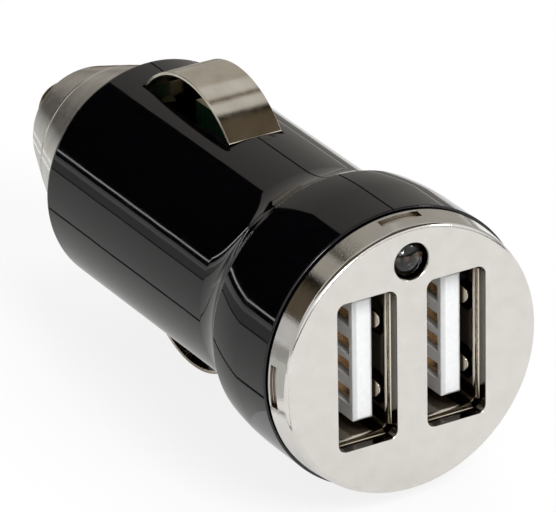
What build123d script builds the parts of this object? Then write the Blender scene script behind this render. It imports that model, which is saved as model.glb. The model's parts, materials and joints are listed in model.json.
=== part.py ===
from build123d import *
import math
import os

# Car USB charger plug, in millimetres. +Y runs from the barrel's shoulder to the nose, +Z is up.

# Clearances
FIT = 0.05                 # between fixed pieces that slip together
SEAT = 0.02                # under a piece that lies on another
RUN = 0.08                 # around a piece that slides
PARTING = 0.03             # each half shell stops this far from the parting plane

# Housing
HEAD_RADIUS = 12.25
HEAD_LENGTH = 16.3         # face plane to shoulder
HEAD_EDGE_DROP = 0.3       # radius lost where the head rolls over to the neck
HEAD_ROLL = 4.0            # length of that rolled stretch
SEAM_EDGE = 0.15           # broken edge beside the cap
NECK_LENGTH = 5.1          # hollow neck between head and barrel
NECK_DIP = 0.4             # how far the neck sinks below a straight cone
BARREL_RADIUS = 10.25
BARREL_LENGTH = 26.0
BARREL_END_ROUND = 0.7
WALL = 1.1
NOSE_LIP = 1.0             # inward lip that holds the nose collar
NOSE_LIP_DEPTH = 1.15
RIB = 0.95                 # ring ribs that hold the port board
LAP_WIDTH = 0.4            # lap bars along the parting faces
LAP_HEIGHT = 0.5
POST = 1.6                 # posts that clamp the main board

# Front cap
CAP_DEPTH = 2.7            # face plane to the black body
CAP_SEAM = 0.2
CAP_STEP = 0.2             # skirt below the head's surface at the seam
CAP_DRAFT = 0.3            # radius lost from the skirt's rear to the face
CAP_FACE = 0.95
CAP_SKIRT = 0.6            # wall at the skirt's rear
CAP_ROUND = 0.45
POCKET_WIDTH = 3.7         # four pockets round the skirt
POCKET_LENGTH = 0.85
POCKET_DEPTH = 0.35
POCKET_STRIP = 0.25        # rim left behind a pocket

# USB-A sockets
PORT_PITCH = 8.37
PORT_WIDTH = 5.5           # opening in the face
PORT_HEIGHT = 13.2
PORT_CORNER = 0.75
PORT_EDGE = 0.12           # broken edge of the opening
SOCKET_WIDTH = 5.12        # inside the folded shell
SOCKET_HEIGHT = 12.5
SOCKET_LENGTH = 10.1
SOCKET_CORNER = 0.35
SHEET = 0.3
FLARE = 0.25               # lips at the mouth lean out by this much
FLARE_LENGTH = 0.55
FINGER_Z = 3.1             # spring fingers, above and below the middle
FINGER_WIDTH = 1.7
FINGER_LENGTH = 4.0
FINGER_BEND = 0.55
FINGER_WINDOW = 2.9
FINGER_WINDOW_CORNER = 0.58
FINGER_TIP_ROUND = 0.75
FINGER_FROM_FRONT = 0.75
TAB_WIDTH = 1.2
TONGUE_THICKNESS = 1.84
TONGUE_HEIGHT = 11.1
TONGUE_OFFSET = 0.95       # towards the plain side of the socket
TONGUE_RECESS = 1.2        # behind the shell's front edge
TONGUE_CHAMFER = 0.3
TONGUE_BASE = 2.4
BLADE_PLACES = (-3.5, -1.0, 1.0, 3.5)
BLADE_WIDTH = 1.1
BLADE_THICKNESS = 0.2
BLADE_START = 0.8          # behind the tongue's front
GROOVE_WIDTH = 1.4
GROOVE_DEPTH = 0.65
TAIL = 0.8                 # pins stand this far out behind their board

# Lamp
LAMP_RADIUS = 1.5
LAMP_RIM = 0.25
LAMP_RIM_THICKNESS = 1.0
LAMP_LENGTH = 4.75
LAMP_SINK = 0.1            # dome below the face
LAMP_DOME = 0.6
LAMP_WALL_GAP = 0.35
LEAD = 0.5
LEAD_SPACING = 2.54

# Boards
BOARD = 1.2
PORT_BOARD_INSET = 0.6     # port board edge to the head's bore
MAIN_BOARD_X = 1.0         # left face of the main board
BOARD_END_GAP = 1.5        # main board's end to the barrel's end
PIN = 0.6
PIN_PLACES = (-5.1, -1.7, 1.7, 5.1)
PIN_REACH = 2.5

# Leaf contacts
CONTACT_WIDTH = 5.0
CONTACT_SHEET = 0.3
CONTACT_SPAN = 13.74       # along the barrel's surface
CONTACT_RISE = 3.05
CONTACT_FROM_END = 11.0    # middle of the arch to the barrel's end
CONTACT_FOOT = 1.6
SOCKET_GAP = 0.25          # a car socket presses the arch down to this above the barrel
SLOT_SIDE = 0.1
SLOT_END = 0.25

# Nose
COLLAR_SETBACK = 0.75      # collar below the barrel's surface
COLLAR_TAPER = 2.1         # radius lost along the collar
COLLAR_LENGTH = 5.6
COLLAR_FLANGE = 0.85
COLLAR_EDGE = 0.5          # wall left at the collar's front
NOSE_WALL = 1.1
STEP_ROUND = 0.15
NOSE_CAP_LENGTH = 8.0
NOSE_SHOULDER = 5.25       # from the collar to the shoulder of the nose cap
NOSE_TAPER = 2.05          # radius lost up to the shoulder
NOSE_SHOULDER_ROUND = 4.0
NOSE_CAP_SPIGOT = 4.5
NOSE_FRONT_EDGE = 0.8      # from the pin to the cone's front edge
NOSE_FRONT_ROUND = 0.35
NOSE_FRONT_WALL = 3.2
TIP_RADIUS = 2.4
TIP_PROUD = 3.0
TIP_FLANGE = 1.1
TIP_FLANGE_THICKNESS = 1.0
TIP_DOME = 1.5
TIP_STUB_RADIUS = 1.5
TIP_STUB_LENGTH = 3.0
SPRING_WIRE = 0.5
SPRING_RADIUS = 2.25
SPRING_TURNS = 6
WIRE_SIDES = 8             # the wire's section, kept to few faces
TERMINAL_RADIUS = 3.2
TERMINAL_SHEET = 0.45
TERMINAL_GAP = 0.8
PRONG_LENGTH = 2.5
PRONG_WIDTH = 3.0

# Parts on the main board
CORE_RADIUS = 4.25
CORE_HEIGHT = 5.0
CORE_FLANGE = 0.9
CORE_NECK = 2.0
WINDING_RADIUS = 3.7
CORE_FROM_CANS = 8.5
CAN_RADIUS = 3.15
CAN_HEIGHT = 5.3
CAN_BASE = 0.5
CAN_BASE_SIDE = 6.6
CAN_CRIMP = 0.35
CAN_SPACING = 7.4
CHIP = (1.45, 4.9, 3.9)
CHIP_PITCH = 1.27
CHIP_PIN = (0.2, 0.4, 1.0)
DIODE = (2.1, 4.3, 2.6)
DIODE_FROM_CANS = 1.0
DIODE_Z = 3.0
FUSE = (1.4, 6.0, 2.4)
FUSE_FROM_CANS = 1.0
FUSE_Z = -3.0
END_CAP = 0.8              # length of a tinned end
END_CAP_WIDTH = 1.5
RESISTOR = (0.5, 2.0, 1.25)
RESISTOR_FROM_START = 2.5
RESISTOR_STEP = 2.6
RESISTORS = 4

# Stations and radii that follow from the sizes above
FACE_Y = -HEAD_LENGTH
SEAM_Y = FACE_Y + CAP_DEPTH
INSIDE_Y = FACE_Y + CAP_FACE
CAP_RADIUS = HEAD_RADIUS - CAP_STEP
RIM_RADIUS = CAP_RADIUS - CAP_SKIRT - FIT
HEAD_BORE = RIM_RADIUS - WALL / 2
BORE = BARREL_RADIUS - WALL
CONTACT_MIDDLE = BARREL_LENGTH - CONTACT_FROM_END
SOCKET_FRONT = INSIDE_Y + FIT
SOCKET_REAR = SOCKET_FRONT + SOCKET_LENGTH
SOCKET_OUT_WIDTH = SOCKET_WIDTH + 2 * SHEET
SOCKET_OUT_HEIGHT = SOCKET_HEIGHT + 2 * SHEET
SOCKET_REACH = math.hypot(PORT_PITCH / 2 + SOCKET_OUT_WIDTH / 2, SOCKET_OUT_HEIGHT / 2)
PORT_BOARD_FRONT = SOCKET_REAR + SEAT
PORT_BOARD_REAR = PORT_BOARD_FRONT + BOARD
PORT_BOARD_RADIUS = HEAD_BORE - PORT_BOARD_INSET
MAIN_BOARD_START = PORT_BOARD_REAR + SEAT
MAIN_BOARD_RIGHT = MAIN_BOARD_X + BOARD
MAIN_BOARD_END = BARREL_LENGTH - BOARD_END_GAP
CAN_Y = CONTACT_MIDDLE
CORE_Y = CAN_Y - CORE_FROM_CANS
CHIP_Y = CORE_Y
DIODE_Y = CAN_Y - DIODE_FROM_CANS
FUSE_Y = CAN_Y - FUSE_FROM_CANS
RESISTOR_Y = MAIN_BOARD_START + RESISTOR_FROM_START
BLADE_X = TONGUE_OFFSET - TONGUE_THICKNESS / 2 + GROOVE_DEPTH - BLADE_THICKNESS / 2 - SEAT
TONGUE_FRONT = SOCKET_FRONT + TONGUE_RECESS
LAMP_Z = HEAD_BORE - LAMP_WALL_GAP - LAMP_RADIUS - LAMP_RIM
LAMP_BACK = FACE_Y + LAMP_SINK + LAMP_LENGTH

ARCH_TOP = BARREL_RADIUS + CONTACT_RISE
ARCH_RADIUS = (CONTACT_SPAN ** 2 / 4 + CONTACT_RISE ** 2) / (2 * CONTACT_RISE)
ARCH_CENTRE = ARCH_TOP - ARCH_RADIUS
LEG_TOP = BARREL_RADIUS - CONTACT_SHEET / 2
LEG = math.sqrt(ARCH_RADIUS ** 2 - (LEG_TOP - ARCH_CENTRE) ** 2)
FOOT_TOP = math.sqrt(BORE ** 2 - CONTACT_WIDTH ** 2 / 4) - RUN
CONTACT_TRAVEL = CONTACT_RISE - SOCKET_GAP
BOARD_TOP = math.sqrt(BORE ** 2 - MAIN_BOARD_RIGHT ** 2) - RUN
BOARD_LOW = FOOT_TOP - CONTACT_SHEET - CONTACT_TRAVEL - 4 * RUN
FOOT_END = LEG + CONTACT_FOOT

COLLAR_RADIUS = BARREL_RADIUS - COLLAR_SETBACK
STEP_RADIUS = COLLAR_RADIUS - COLLAR_TAPER
COLLAR_BORE = STEP_RADIUS - COLLAR_EDGE
NOSE_FRONT_RADIUS = TIP_RADIUS + NOSE_FRONT_EDGE
STEP_Y = BARREL_LENGTH + FIT + COLLAR_LENGTH
NOSE_CAP_Y = STEP_Y + FIT
NOSE_Y = NOSE_CAP_Y + NOSE_CAP_LENGTH
SHOULDER_Y = NOSE_CAP_Y + NOSE_SHOULDER
SHOULDER_RADIUS = STEP_RADIUS - NOSE_TAPER
LIP_BACK = BARREL_LENGTH - NOSE_LIP
TIP_SEAT = NOSE_Y - NOSE_FRONT_WALL
TIP_BACK = TIP_SEAT - FIT - TIP_FLANGE_THICKNESS
TERMINAL_Y = MAIN_BOARD_END + TERMINAL_GAP
LEFT, RIGHT = -PORT_PITCH / 2, PORT_PITCH / 2


def outline(start, *steps):
    """Closed face through the points given; a step made of two points is an arc through one to the other."""
    edges = []
    here = start
    for step in steps:
        if isinstance(step[0], tuple):
            edges.append(ThreePointArc(here, *step))
            here = step[1]
        else:
            edges.append(Line(here, step))
            here = step
    edges.append(Line(here, start))
    return make_face(edges)


def turned(start, *steps):
    """Piece turned about the plug's axis, from its section as (radius, station)."""
    return revolve(outline(start, *steps), Axis.Y)


def bulge(centre, radius, x_sign, y_sign):
    """Middle point of a quarter round about a centre."""
    reach = radius * math.sqrt(0.5)
    return (centre[0] + x_sign * reach, centre[1] + y_sign * reach)


def dome_drop(radius, height):
    """How far a dome has dropped from its top, halfway out."""
    ball = (radius ** 2 + height ** 2) / (2 * height)
    return ball - math.sqrt(ball ** 2 - radius ** 2 / 4)


def block(x, y, z):
    """Box between two values along each axis."""
    size = [high - low for low, high in (x, y, z)]
    middle = [(high + low) / 2 for low, high in (x, y, z)]
    return Pos(*middle) * Box(*size)


def rod(y, width, height, x=0.0, z=0.0, corner=0.0):
    """Prism along the plug between two stations, centred at x, z."""
    shape = RectangleRounded(width, height, corner) if corner else Rectangle(width, height)
    face = Plane(origin=(x, y[0], z), x_dir=(1, 0, 0), z_dir=(0, 1, 0)) * shape
    return extrude(face, y[1] - y[0], dir=(0, 1, 0))


def on_board(x, y, z, radius, height):
    """Round piece that stands on a board face, along -X."""
    return Pos(x - height / 2, y, z) * Rot(0, 90, 0) * Cylinder(radius, height)


def housing():
    """The whole hollow housing before it is parted."""
    roll_y = -NECK_LENGTH - HEAD_ROLL
    edge = (HEAD_RADIUS - HEAD_EDGE_DROP, -NECK_LENGTH)
    round_centre = (BARREL_RADIUS - BARREL_END_ROUND, BARREL_LENGTH - BARREL_END_ROUND)
    seat_radius = PORT_BOARD_RADIUS + FIT
    rib_front = max(SOCKET_REACH + 4 * FIT, PORT_BOARD_RADIUS - RIB)
    rib_rear = PORT_BOARD_RADIUS - RIB
    body = turned(
        (RIM_RADIUS, INSIDE_Y + FIT),
        (RIM_RADIUS, SEAM_Y),
        (HEAD_RADIUS - SEAM_EDGE, SEAM_Y),
        (HEAD_RADIUS, SEAM_Y + SEAM_EDGE),
        (HEAD_RADIUS, roll_y),
        ((HEAD_RADIUS - HEAD_EDGE_DROP / 4, roll_y + HEAD_ROLL / 2), edge),
        (((edge[0] + BARREL_RADIUS) / 2 - NECK_DIP, -NECK_LENGTH / 2), (BARREL_RADIUS, 0)),
        (BARREL_RADIUS, round_centre[1]),
        (bulge(round_centre, BARREL_END_ROUND, 1, 1), (round_centre[0], BARREL_LENGTH)),
        (BORE - NOSE_LIP_DEPTH, BARREL_LENGTH),
        (BORE - NOSE_LIP_DEPTH, LIP_BACK),
        (BORE, LIP_BACK),
        (BORE, -NECK_LENGTH / 4),
        (rib_rear, PORT_BOARD_REAR + FIT + RIB),
        (rib_rear, PORT_BOARD_REAR + FIT),
        (seat_radius, PORT_BOARD_REAR + FIT),
        (seat_radius, PORT_BOARD_FRONT - FIT),
        (rib_front, PORT_BOARD_FRONT - FIT),
        (rib_front, PORT_BOARD_FRONT - FIT - RIB),
        (HEAD_BORE, PORT_BOARD_FRONT - FIT - RIB),
        (HEAD_BORE, INSIDE_Y + FIT),
    )
    slot_x = CONTACT_WIDTH / 2 + SLOT_SIDE
    slot_y = LEG + SLOT_END
    return body - block(
        (-slot_x, slot_x), (CONTACT_MIDDLE - slot_y, CONTACT_MIDDLE + slot_y), (-ARCH_TOP, ARCH_TOP)
    )


def lap_bars(gap):
    """Bars that stand on one parting face and enter grooves in the other."""
    head_y = (SEAM_Y + RIB, -NECK_LENGTH - HEAD_ROLL)
    barrel_y = (RIB, CONTACT_MIDDLE - LEG - SLOT_END - RIB)
    bars = Part()
    for (low, high), radius in (
        (head_y, (HEAD_BORE + HEAD_RADIUS) / 2),
        (barrel_y, (BORE + BARREL_RADIUS) / 2),
    ):
        for side in (-1, 1):
            middle = side * radius
            half = LAP_WIDTH / 2 + gap
            bars += block(
                (-PARTING - LAP_HEIGHT, LAP_HEIGHT + gap),
                (low - gap, high + gap),
                (middle - half, middle + half),
            )
    return bars


def board_posts(low, high):
    """Posts inside one half shell that reach a face of the main board, between two values of X."""
    posts = Part()
    for y, z in ((POST, BOARD_TOP - POST), (CONTACT_MIDDLE + LEG - POST, BOARD_LOW - POST / 2)):
        for side in (-1, 1):
            middle = side * z
            posts += block((low, high), (y - POST / 2, y + POST / 2), (middle - POST / 2, middle + POST / 2))
    inner = Rot(90, 0, 0) * Cylinder(BORE + WALL / 2, 4 * BARREL_LENGTH)
    return posts & inner


def half_shells():
    """Left and right half of the housing, with lap bars, grooves and board posts."""
    whole = housing()
    left = split(whole, Plane.YZ.offset(-PARTING), keep=Keep.BOTTOM)
    right = split(whole, Plane.YZ.offset(PARTING), keep=Keep.TOP)
    left = left + lap_bars(0.0) + board_posts(-BARREL_RADIUS, MAIN_BOARD_X - FIT)
    right = right - lap_bars(FIT) + board_posts(MAIN_BOARD_RIGHT + FIT, BARREL_RADIUS)
    return left, right


def front_cap():
    """Nickel cap: face plate with port and lamp openings, and a skirt with four pockets."""
    rear = SEAM_Y - CAP_SEAM
    cap = turned(
        (0, FACE_Y),
        (CAP_RADIUS - CAP_DRAFT, FACE_Y),
        (CAP_RADIUS, rear),
        (CAP_RADIUS - CAP_SKIRT, rear),
        (CAP_RADIUS - CAP_SKIRT, INSIDE_Y),
        (0, INSIDE_Y),
    )
    cap = fillet(cap.edges().filter_by(GeomType.CIRCLE).sort_by(Axis.Y)[0], CAP_ROUND)
    for x in (LEFT, RIGHT):
        cap -= rod((FACE_Y - 1, INSIDE_Y + 1), PORT_WIDTH, PORT_HEIGHT, x, corner=PORT_CORNER)
    cap -= Pos(0, FACE_Y, LAMP_Z) * Rot(90, 0, 0) * Cylinder(LAMP_RADIUS + FIT, 4 * CAP_FACE)
    front = cap.faces().sort_by(Axis.Y)[0]
    cap = chamfer(front.inner_wires().edges(), PORT_EDGE)
    pocket_y = rear - POCKET_STRIP
    pocket = block(
        (-POCKET_WIDTH / 2, POCKET_WIDTH / 2),
        (pocket_y - POCKET_LENGTH, pocket_y),
        (RIM_RADIUS, ARCH_TOP),
    )
    pocket -= Rot(90, 0, 0) * Cylinder(CAP_RADIUS - POCKET_DEPTH, 4 * HEAD_LENGTH)
    for turn in range(4):
        cap -= Rot(0, 90 * turn, 0) * pocket
    return cap


def socket_shell(x):
    """Folded sheet shell of one socket, with flared mouth, spring fingers and board tabs."""
    corner = SOCKET_CORNER + SHEET
    tube = (SOCKET_FRONT + FLARE_LENGTH, SOCKET_REAR)
    shell = rod(tube, SOCKET_OUT_WIDTH, SOCKET_OUT_HEIGHT, corner=corner)
    shell -= rod(tube, SOCKET_WIDTH, SOCKET_HEIGHT, corner=SOCKET_CORNER)
    for turn in (0, 180):
        shell += Rot(0, turn, 0) * flared_lip(SOCKET_WIDTH / 2, SOCKET_OUT_HEIGHT - 2 * corner)
        shell += Rot(0, turn + 90, 0) * flared_lip(SOCKET_HEIGHT / 2, SOCKET_OUT_WIDTH - 2 * corner)
    window_y = (SOCKET_FRONT + FINGER_FROM_FRONT, SOCKET_FRONT + FINGER_FROM_FRONT + FINGER_LENGTH)
    for side in (-1, 1):
        wall_x = side * (SOCKET_WIDTH + SHEET) / 2
        for z in (-FINGER_Z, FINGER_Z):
            shell -= Pos(wall_x, sum(window_y) / 2, z) * finger_window()
            shell += spring_finger(side, window_y, z)
    for z in (-SOCKET_HEIGHT / 4, SOCKET_HEIGHT / 4):
        shell += rod(
            (SOCKET_REAR - SHEET, PORT_BOARD_REAR + TAIL), SHEET, TAB_WIDTH, (SOCKET_WIDTH + SHEET) / 2, z
        )
    return Pos(x, 0, 0) * shell


def flared_lip(wall, length):
    """Lip that leans out from a wall at the socket's mouth, along the straight part of that wall."""
    back = SOCKET_FRONT + FLARE_LENGTH
    face = outline(
        (wall, back),
        (wall + FLARE, SOCKET_FRONT),
        (wall + FLARE + SHEET, SOCKET_FRONT),
        (wall + SHEET, back),
    )
    return extrude(Pos(0, 0, -length / 2) * face, length, dir=(0, 0, 1))


def finger_window():
    """Cutter for the eight-sided window around a spring finger."""
    window = Box(4 * SHEET, FINGER_LENGTH, FINGER_WINDOW)
    return chamfer(window.edges().filter_by(Axis.X), FINGER_WINDOW_CORNER)


def spring_finger(side, span, z):
    """Finger bent out of the wall: rooted at the window's rear edge, its rounded tip bent inwards."""
    outer = SOCKET_WIDTH / 2 + SHEET
    root = span[1] + SHEET
    tip = span[0] + SHEET
    bend = tip + FINGER_LENGTH / 4
    face = outline(
        (side * outer, root),
        (side * (outer - FINGER_BEND), bend),
        (side * (outer - FINGER_BEND + SHEET), tip),
        (side * (outer - FINGER_BEND), tip),
        (side * (outer - FINGER_BEND - SHEET), bend),
        (side * (outer - SHEET), root),
    )
    strip = extrude(Pos(0, 0, z - FINGER_WIDTH / 2) * face, FINGER_WIDTH, dir=(0, 0, 1))
    plan = rod((tip, root), 4 * outer, FINGER_WIDTH, 0, z)
    corners = plan.edges().filter_by(Axis.X).group_by(Axis.Y)[0]
    return strip & fillet(corners, FINGER_TIP_ROUND)


def socket_tongue(x):
    """White insulator: rear block and tongue, with a groove for each blade."""
    base = rod(
        (SOCKET_REAR - TONGUE_BASE, SOCKET_REAR),
        SOCKET_WIDTH - 2 * FIT,
        SOCKET_HEIGHT - 2 * FIT,
        corner=SOCKET_CORNER,
    )
    tongue = rod((TONGUE_FRONT, SOCKET_REAR), TONGUE_THICKNESS, TONGUE_HEIGHT, TONGUE_OFFSET)
    front = tongue.faces().sort_by(Axis.Y)[0]
    piece = base + chamfer(front.edges(), TONGUE_CHAMFER)
    side_x = TONGUE_OFFSET - TONGUE_THICKNESS / 2
    for z in BLADE_PLACES:
        piece -= block(
            (side_x - GROOVE_DEPTH, side_x + GROOVE_DEPTH),
            (TONGUE_FRONT + BLADE_START, SOCKET_REAR),
            (z - GROOVE_WIDTH / 2, z + GROOVE_WIDTH / 2),
        )
    return Pos(x, 0, 0) * piece


def socket_blades(x):
    """The four contact blades of one socket, each with its tail through the port board."""
    span = (TONGUE_FRONT + BLADE_START + SEAT, PORT_BOARD_REAR + TAIL)
    return Compound(children=[rod(span, BLADE_THICKNESS, BLADE_WIDTH, x + BLADE_X, z) for z in BLADE_PLACES])


def lamp_lens():
    """Clear round lamp with a domed end and a rim."""
    dome_y = FACE_Y + LAMP_SINK
    rim_y = LAMP_BACK - LAMP_RIM_THICKNESS
    lens = turned(
        (0, dome_y),
        ((LAMP_RADIUS / 2, dome_y + dome_drop(LAMP_RADIUS, LAMP_DOME)), (LAMP_RADIUS, dome_y + LAMP_DOME)),
        (LAMP_RADIUS, rim_y),
        (LAMP_RADIUS + LAMP_RIM, rim_y),
        (LAMP_RADIUS + LAMP_RIM, LAMP_BACK),
        (0, LAMP_BACK),
    )
    return Pos(0, 0, LAMP_Z) * lens


def lamp_leads():
    """Two leads from the lamp to the port board."""
    span = (LAMP_BACK, PORT_BOARD_REAR + TAIL)
    return Compound(children=[rod(span, LEAD, LEAD, side * LEAD_SPACING / 2, LAMP_Z) for side in (-1, 1)])


def port_board():
    """Round board behind the sockets, with its holes."""
    span = (PORT_BOARD_FRONT, PORT_BOARD_REAR)
    board = turned((0, span[0]), (PORT_BOARD_RADIUS, span[0]), (PORT_BOARD_RADIUS, span[1]), (0, span[1]))
    for x in (LEFT, RIGHT):
        for z in BLADE_PLACES:
            board -= rod(span, BLADE_THICKNESS + 4 * FIT, BLADE_WIDTH + 4 * FIT, x + BLADE_X, z)
        for z in (-SOCKET_HEIGHT / 4, SOCKET_HEIGHT / 4):
            board -= rod(span, SHEET + 4 * FIT, TAB_WIDTH + 4 * FIT, x + (SOCKET_WIDTH + SHEET) / 2, z)
    for side in (-1, 1):
        board -= rod(span, LEAD + 4 * FIT, LEAD + 4 * FIT, side * LEAD_SPACING / 2, LAMP_Z)
    for z in PIN_PLACES:
        board -= rod(span, PIN + 4 * FIT, PIN + 4 * FIT, MAIN_BOARD_X - SEAT - PIN / 2, z)
    return board


def board_pins():
    """Pins that join the port board to the main board."""
    span = (PORT_BOARD_FRONT - TAIL, MAIN_BOARD_START + PIN_REACH)
    x = MAIN_BOARD_X - SEAT - PIN / 2
    return Compound(children=[rod(span, PIN, PIN, x, z) for z in PIN_PLACES])


def main_board():
    """Upright board, cut low where the feet of the leaf contacts come down beside it."""
    pressed_top = BOARD_TOP + 2 * RUN + CONTACT_TRAVEL - ARCH_CENTRE
    under_arch = math.sqrt((ARCH_RADIUS - CONTACT_SHEET) ** 2 - pressed_top ** 2)
    low_start = CONTACT_MIDDLE - FOOT_END - 4 * RUN
    below_leads = min(BOARD_TOP, LAMP_Z - LEAD)
    steps = (
        (MAIN_BOARD_START, low_start, below_leads),
        (low_start, MAIN_BOARD_END, BOARD_LOW),
        (CONTACT_MIDDLE - under_arch, CONTACT_MIDDLE + under_arch, BOARD_TOP),
    )
    board = Part()
    for low, high, half in steps:
        board += block((MAIN_BOARD_X, MAIN_BOARD_RIGHT), (low, high), (-half, half))
    return board


def leaf_contact(turn):
    """Arched leaf spring whose feet lie under the barrel wall beyond its slot."""
    inner = ARCH_RADIUS - CONTACT_SHEET
    inner_leg = LEG - CONTACT_SHEET
    inner_top = ARCH_CENTRE + math.sqrt(inner ** 2 - inner_leg ** 2)
    foot_low = FOOT_TOP - CONTACT_SHEET
    face = outline(
        (-LEG, LEG_TOP),
        ((0, ARCH_TOP), (LEG, LEG_TOP)),
        (LEG, FOOT_TOP),
        (FOOT_END, FOOT_TOP),
        (FOOT_END, foot_low),
        (inner_leg, foot_low),
        (inner_leg, inner_top),
        ((0, ARCH_TOP - CONTACT_SHEET), (-inner_leg, inner_top)),
        (-inner_leg, foot_low),
        (-FOOT_END, foot_low),
        (-FOOT_END, FOOT_TOP),
        (-LEG, FOOT_TOP),
    )
    leaf = extrude(Plane.YZ * face, CONTACT_WIDTH / 2, both=True)
    return Rot(0, turn, 0) * Pos(0, CONTACT_MIDDLE, 0) * leaf


def nose_collar():
    """Nickel collar whose flange is trapped behind the lip of the half shells."""
    lip = BORE - NOSE_LIP_DEPTH
    base = BARREL_LENGTH + FIT
    slope = (COLLAR_RADIUS - STEP_RADIUS) / COLLAR_LENGTH
    return turned(
        (COLLAR_BORE, LIP_BACK - FIT - COLLAR_FLANGE),
        (BORE - 4 * FIT, LIP_BACK - FIT - COLLAR_FLANGE),
        (BORE - 4 * FIT, LIP_BACK - FIT),
        (lip - FIT, LIP_BACK - FIT),
        (lip - FIT, base),
        (COLLAR_RADIUS, base),
        (STEP_RADIUS + slope * STEP_ROUND, STEP_Y - STEP_ROUND),
        (STEP_RADIUS - STEP_ROUND, STEP_Y),
        (COLLAR_BORE, STEP_Y),
    )


def nose_cap():
    """Nickel cone with a shoulder, which screws into the collar and guides the centre pin."""
    spigot = COLLAR_BORE - FIT
    spigot_y = NOSE_CAP_Y - NOSE_CAP_SPIGOT
    hollow = spigot - NOSE_WALL
    slope = NOSE_TAPER / NOSE_SHOULDER
    hollow_y = NOSE_CAP_Y + (STEP_RADIUS - NOSE_WALL - hollow) / slope
    cavity = STEP_RADIUS - NOSE_WALL - slope * (TIP_SEAT - NOSE_CAP_Y)
    front_slope = (SHOULDER_RADIUS - NOSE_FRONT_RADIUS) / (NOSE_Y - SHOULDER_Y)
    cap = turned(
        (hollow, spigot_y),
        (spigot, spigot_y),
        (spigot, NOSE_CAP_Y),
        (STEP_RADIUS - STEP_ROUND, NOSE_CAP_Y),
        (STEP_RADIUS - slope * STEP_ROUND, NOSE_CAP_Y + STEP_ROUND),
        (SHOULDER_RADIUS, SHOULDER_Y),
        (NOSE_FRONT_RADIUS + front_slope * NOSE_FRONT_ROUND, NOSE_Y - NOSE_FRONT_ROUND),
        (NOSE_FRONT_RADIUS - NOSE_FRONT_ROUND, NOSE_Y),
        (TIP_RADIUS + RUN, NOSE_Y),
        (TIP_RADIUS + RUN, TIP_SEAT),
        (cavity, TIP_SEAT),
        (hollow, hollow_y),
    )
    rings = cap.edges().filter_by(GeomType.CIRCLE)
    shoulder = rings.sort_by(lambda ring: abs(ring.arc_center.Y - SHOULDER_Y))[0]
    return fillet(shoulder, NOSE_SHOULDER_ROUND)


def tip_contact():
    """Centre pin: domed stem, flange behind the nose cap's front wall, and a stub inside the spring."""
    flange = TIP_RADIUS + TIP_FLANGE
    end = NOSE_Y + TIP_PROUD
    return turned(
        (0, TIP_BACK - TIP_STUB_LENGTH),
        (TIP_STUB_RADIUS, TIP_BACK - TIP_STUB_LENGTH),
        (TIP_STUB_RADIUS, TIP_BACK),
        (flange, TIP_BACK),
        (flange, TIP_SEAT - FIT),
        (TIP_RADIUS, TIP_SEAT - FIT),
        (TIP_RADIUS, end - TIP_DOME),
        ((TIP_RADIUS / 2, end - dome_drop(TIP_RADIUS, TIP_DOME)), (0, end)),
    )


def tip_spring():
    """Coil spring between the terminal and the centre pin's flange."""
    low = TERMINAL_Y + TERMINAL_SHEET + SPRING_WIRE / 2 + SEAT
    high = TIP_BACK - SPRING_WIRE / 2 - SEAT
    height = high - low
    path = Helix(height / SPRING_TURNS, height, SPRING_RADIUS, center=(0, low, 0), direction=(0, 1, 0))
    return sweep(Plane(origin=path @ 0, z_dir=path % 0) * RegularPolygon(SPRING_WIRE / 2, WIRE_SIDES), path)


def spring_terminal():
    """Brass disc for the spring, with two prongs that grip the end of the main board."""
    disc = turned(
        (0, TERMINAL_Y),
        (TERMINAL_RADIUS, TERMINAL_Y),
        (TERMINAL_RADIUS, TERMINAL_Y + TERMINAL_SHEET),
        (0, TERMINAL_Y + TERMINAL_SHEET),
    )
    span = (MAIN_BOARD_END - PRONG_LENGTH, TERMINAL_Y + TERMINAL_SHEET / 2)
    for low in (MAIN_BOARD_X - SEAT - TERMINAL_SHEET, MAIN_BOARD_RIGHT + SEAT):
        disc += block((low, low + TERMINAL_SHEET), span, (-PRONG_WIDTH / 2, PRONG_WIDTH / 2))
    return disc


def inductor_core():
    """Ferrite drum that stands on the main board."""
    x = MAIN_BOARD_X - SEAT
    core = on_board(x, CORE_Y, 0, CORE_NECK, CORE_HEIGHT)
    for start in (x, x - CORE_HEIGHT + CORE_FLANGE):
        core += on_board(start, CORE_Y, 0, CORE_RADIUS, CORE_FLANGE)
    return core


def inductor_winding():
    """Copper winding on the drum, as one ring."""
    x = MAIN_BOARD_X - 2 * SEAT - CORE_FLANGE
    height = CORE_HEIGHT - 2 * CORE_FLANGE - 2 * SEAT
    ring = on_board(x, CORE_Y, 0, WINDING_RADIUS, height)
    return ring - on_board(x, CORE_Y, 0, CORE_NECK + SEAT, height)


def capacitor_can(z):
    """Aluminium can with a crimped groove near its base."""
    x = MAIN_BOARD_X - 2 * SEAT - CAN_BASE
    can = on_board(x, CAN_Y, z, CAN_RADIUS, CAN_HEIGHT)
    groove = on_board(x - 2 * CAN_CRIMP, CAN_Y, z, CAN_RADIUS + 1, CAN_CRIMP)
    groove -= on_board(x - 2 * CAN_CRIMP, CAN_Y, z, CAN_RADIUS - CAN_CRIMP, CAN_CRIMP)
    can -= groove
    return chamfer(can.edges().sort_by(Axis.X)[0], CAN_CRIMP)


def capacitor_bases():
    """Plastic base plates under the two cans, with two corners cut."""
    x = MAIN_BOARD_X - SEAT - CAN_BASE / 2
    plates = []
    for z in (-CAN_SPACING / 2, CAN_SPACING / 2):
        plate = Box(CAN_BASE, CAN_BASE_SIDE, CAN_BASE_SIDE)
        corners = plate.edges().filter_by(Axis.X).group_by(Axis.Y)[-1]
        plates.append(Pos(x, CAN_Y, z) * chamfer(corners, CAN_BASE_SIDE / 6))
    return Compound(children=plates)


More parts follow.
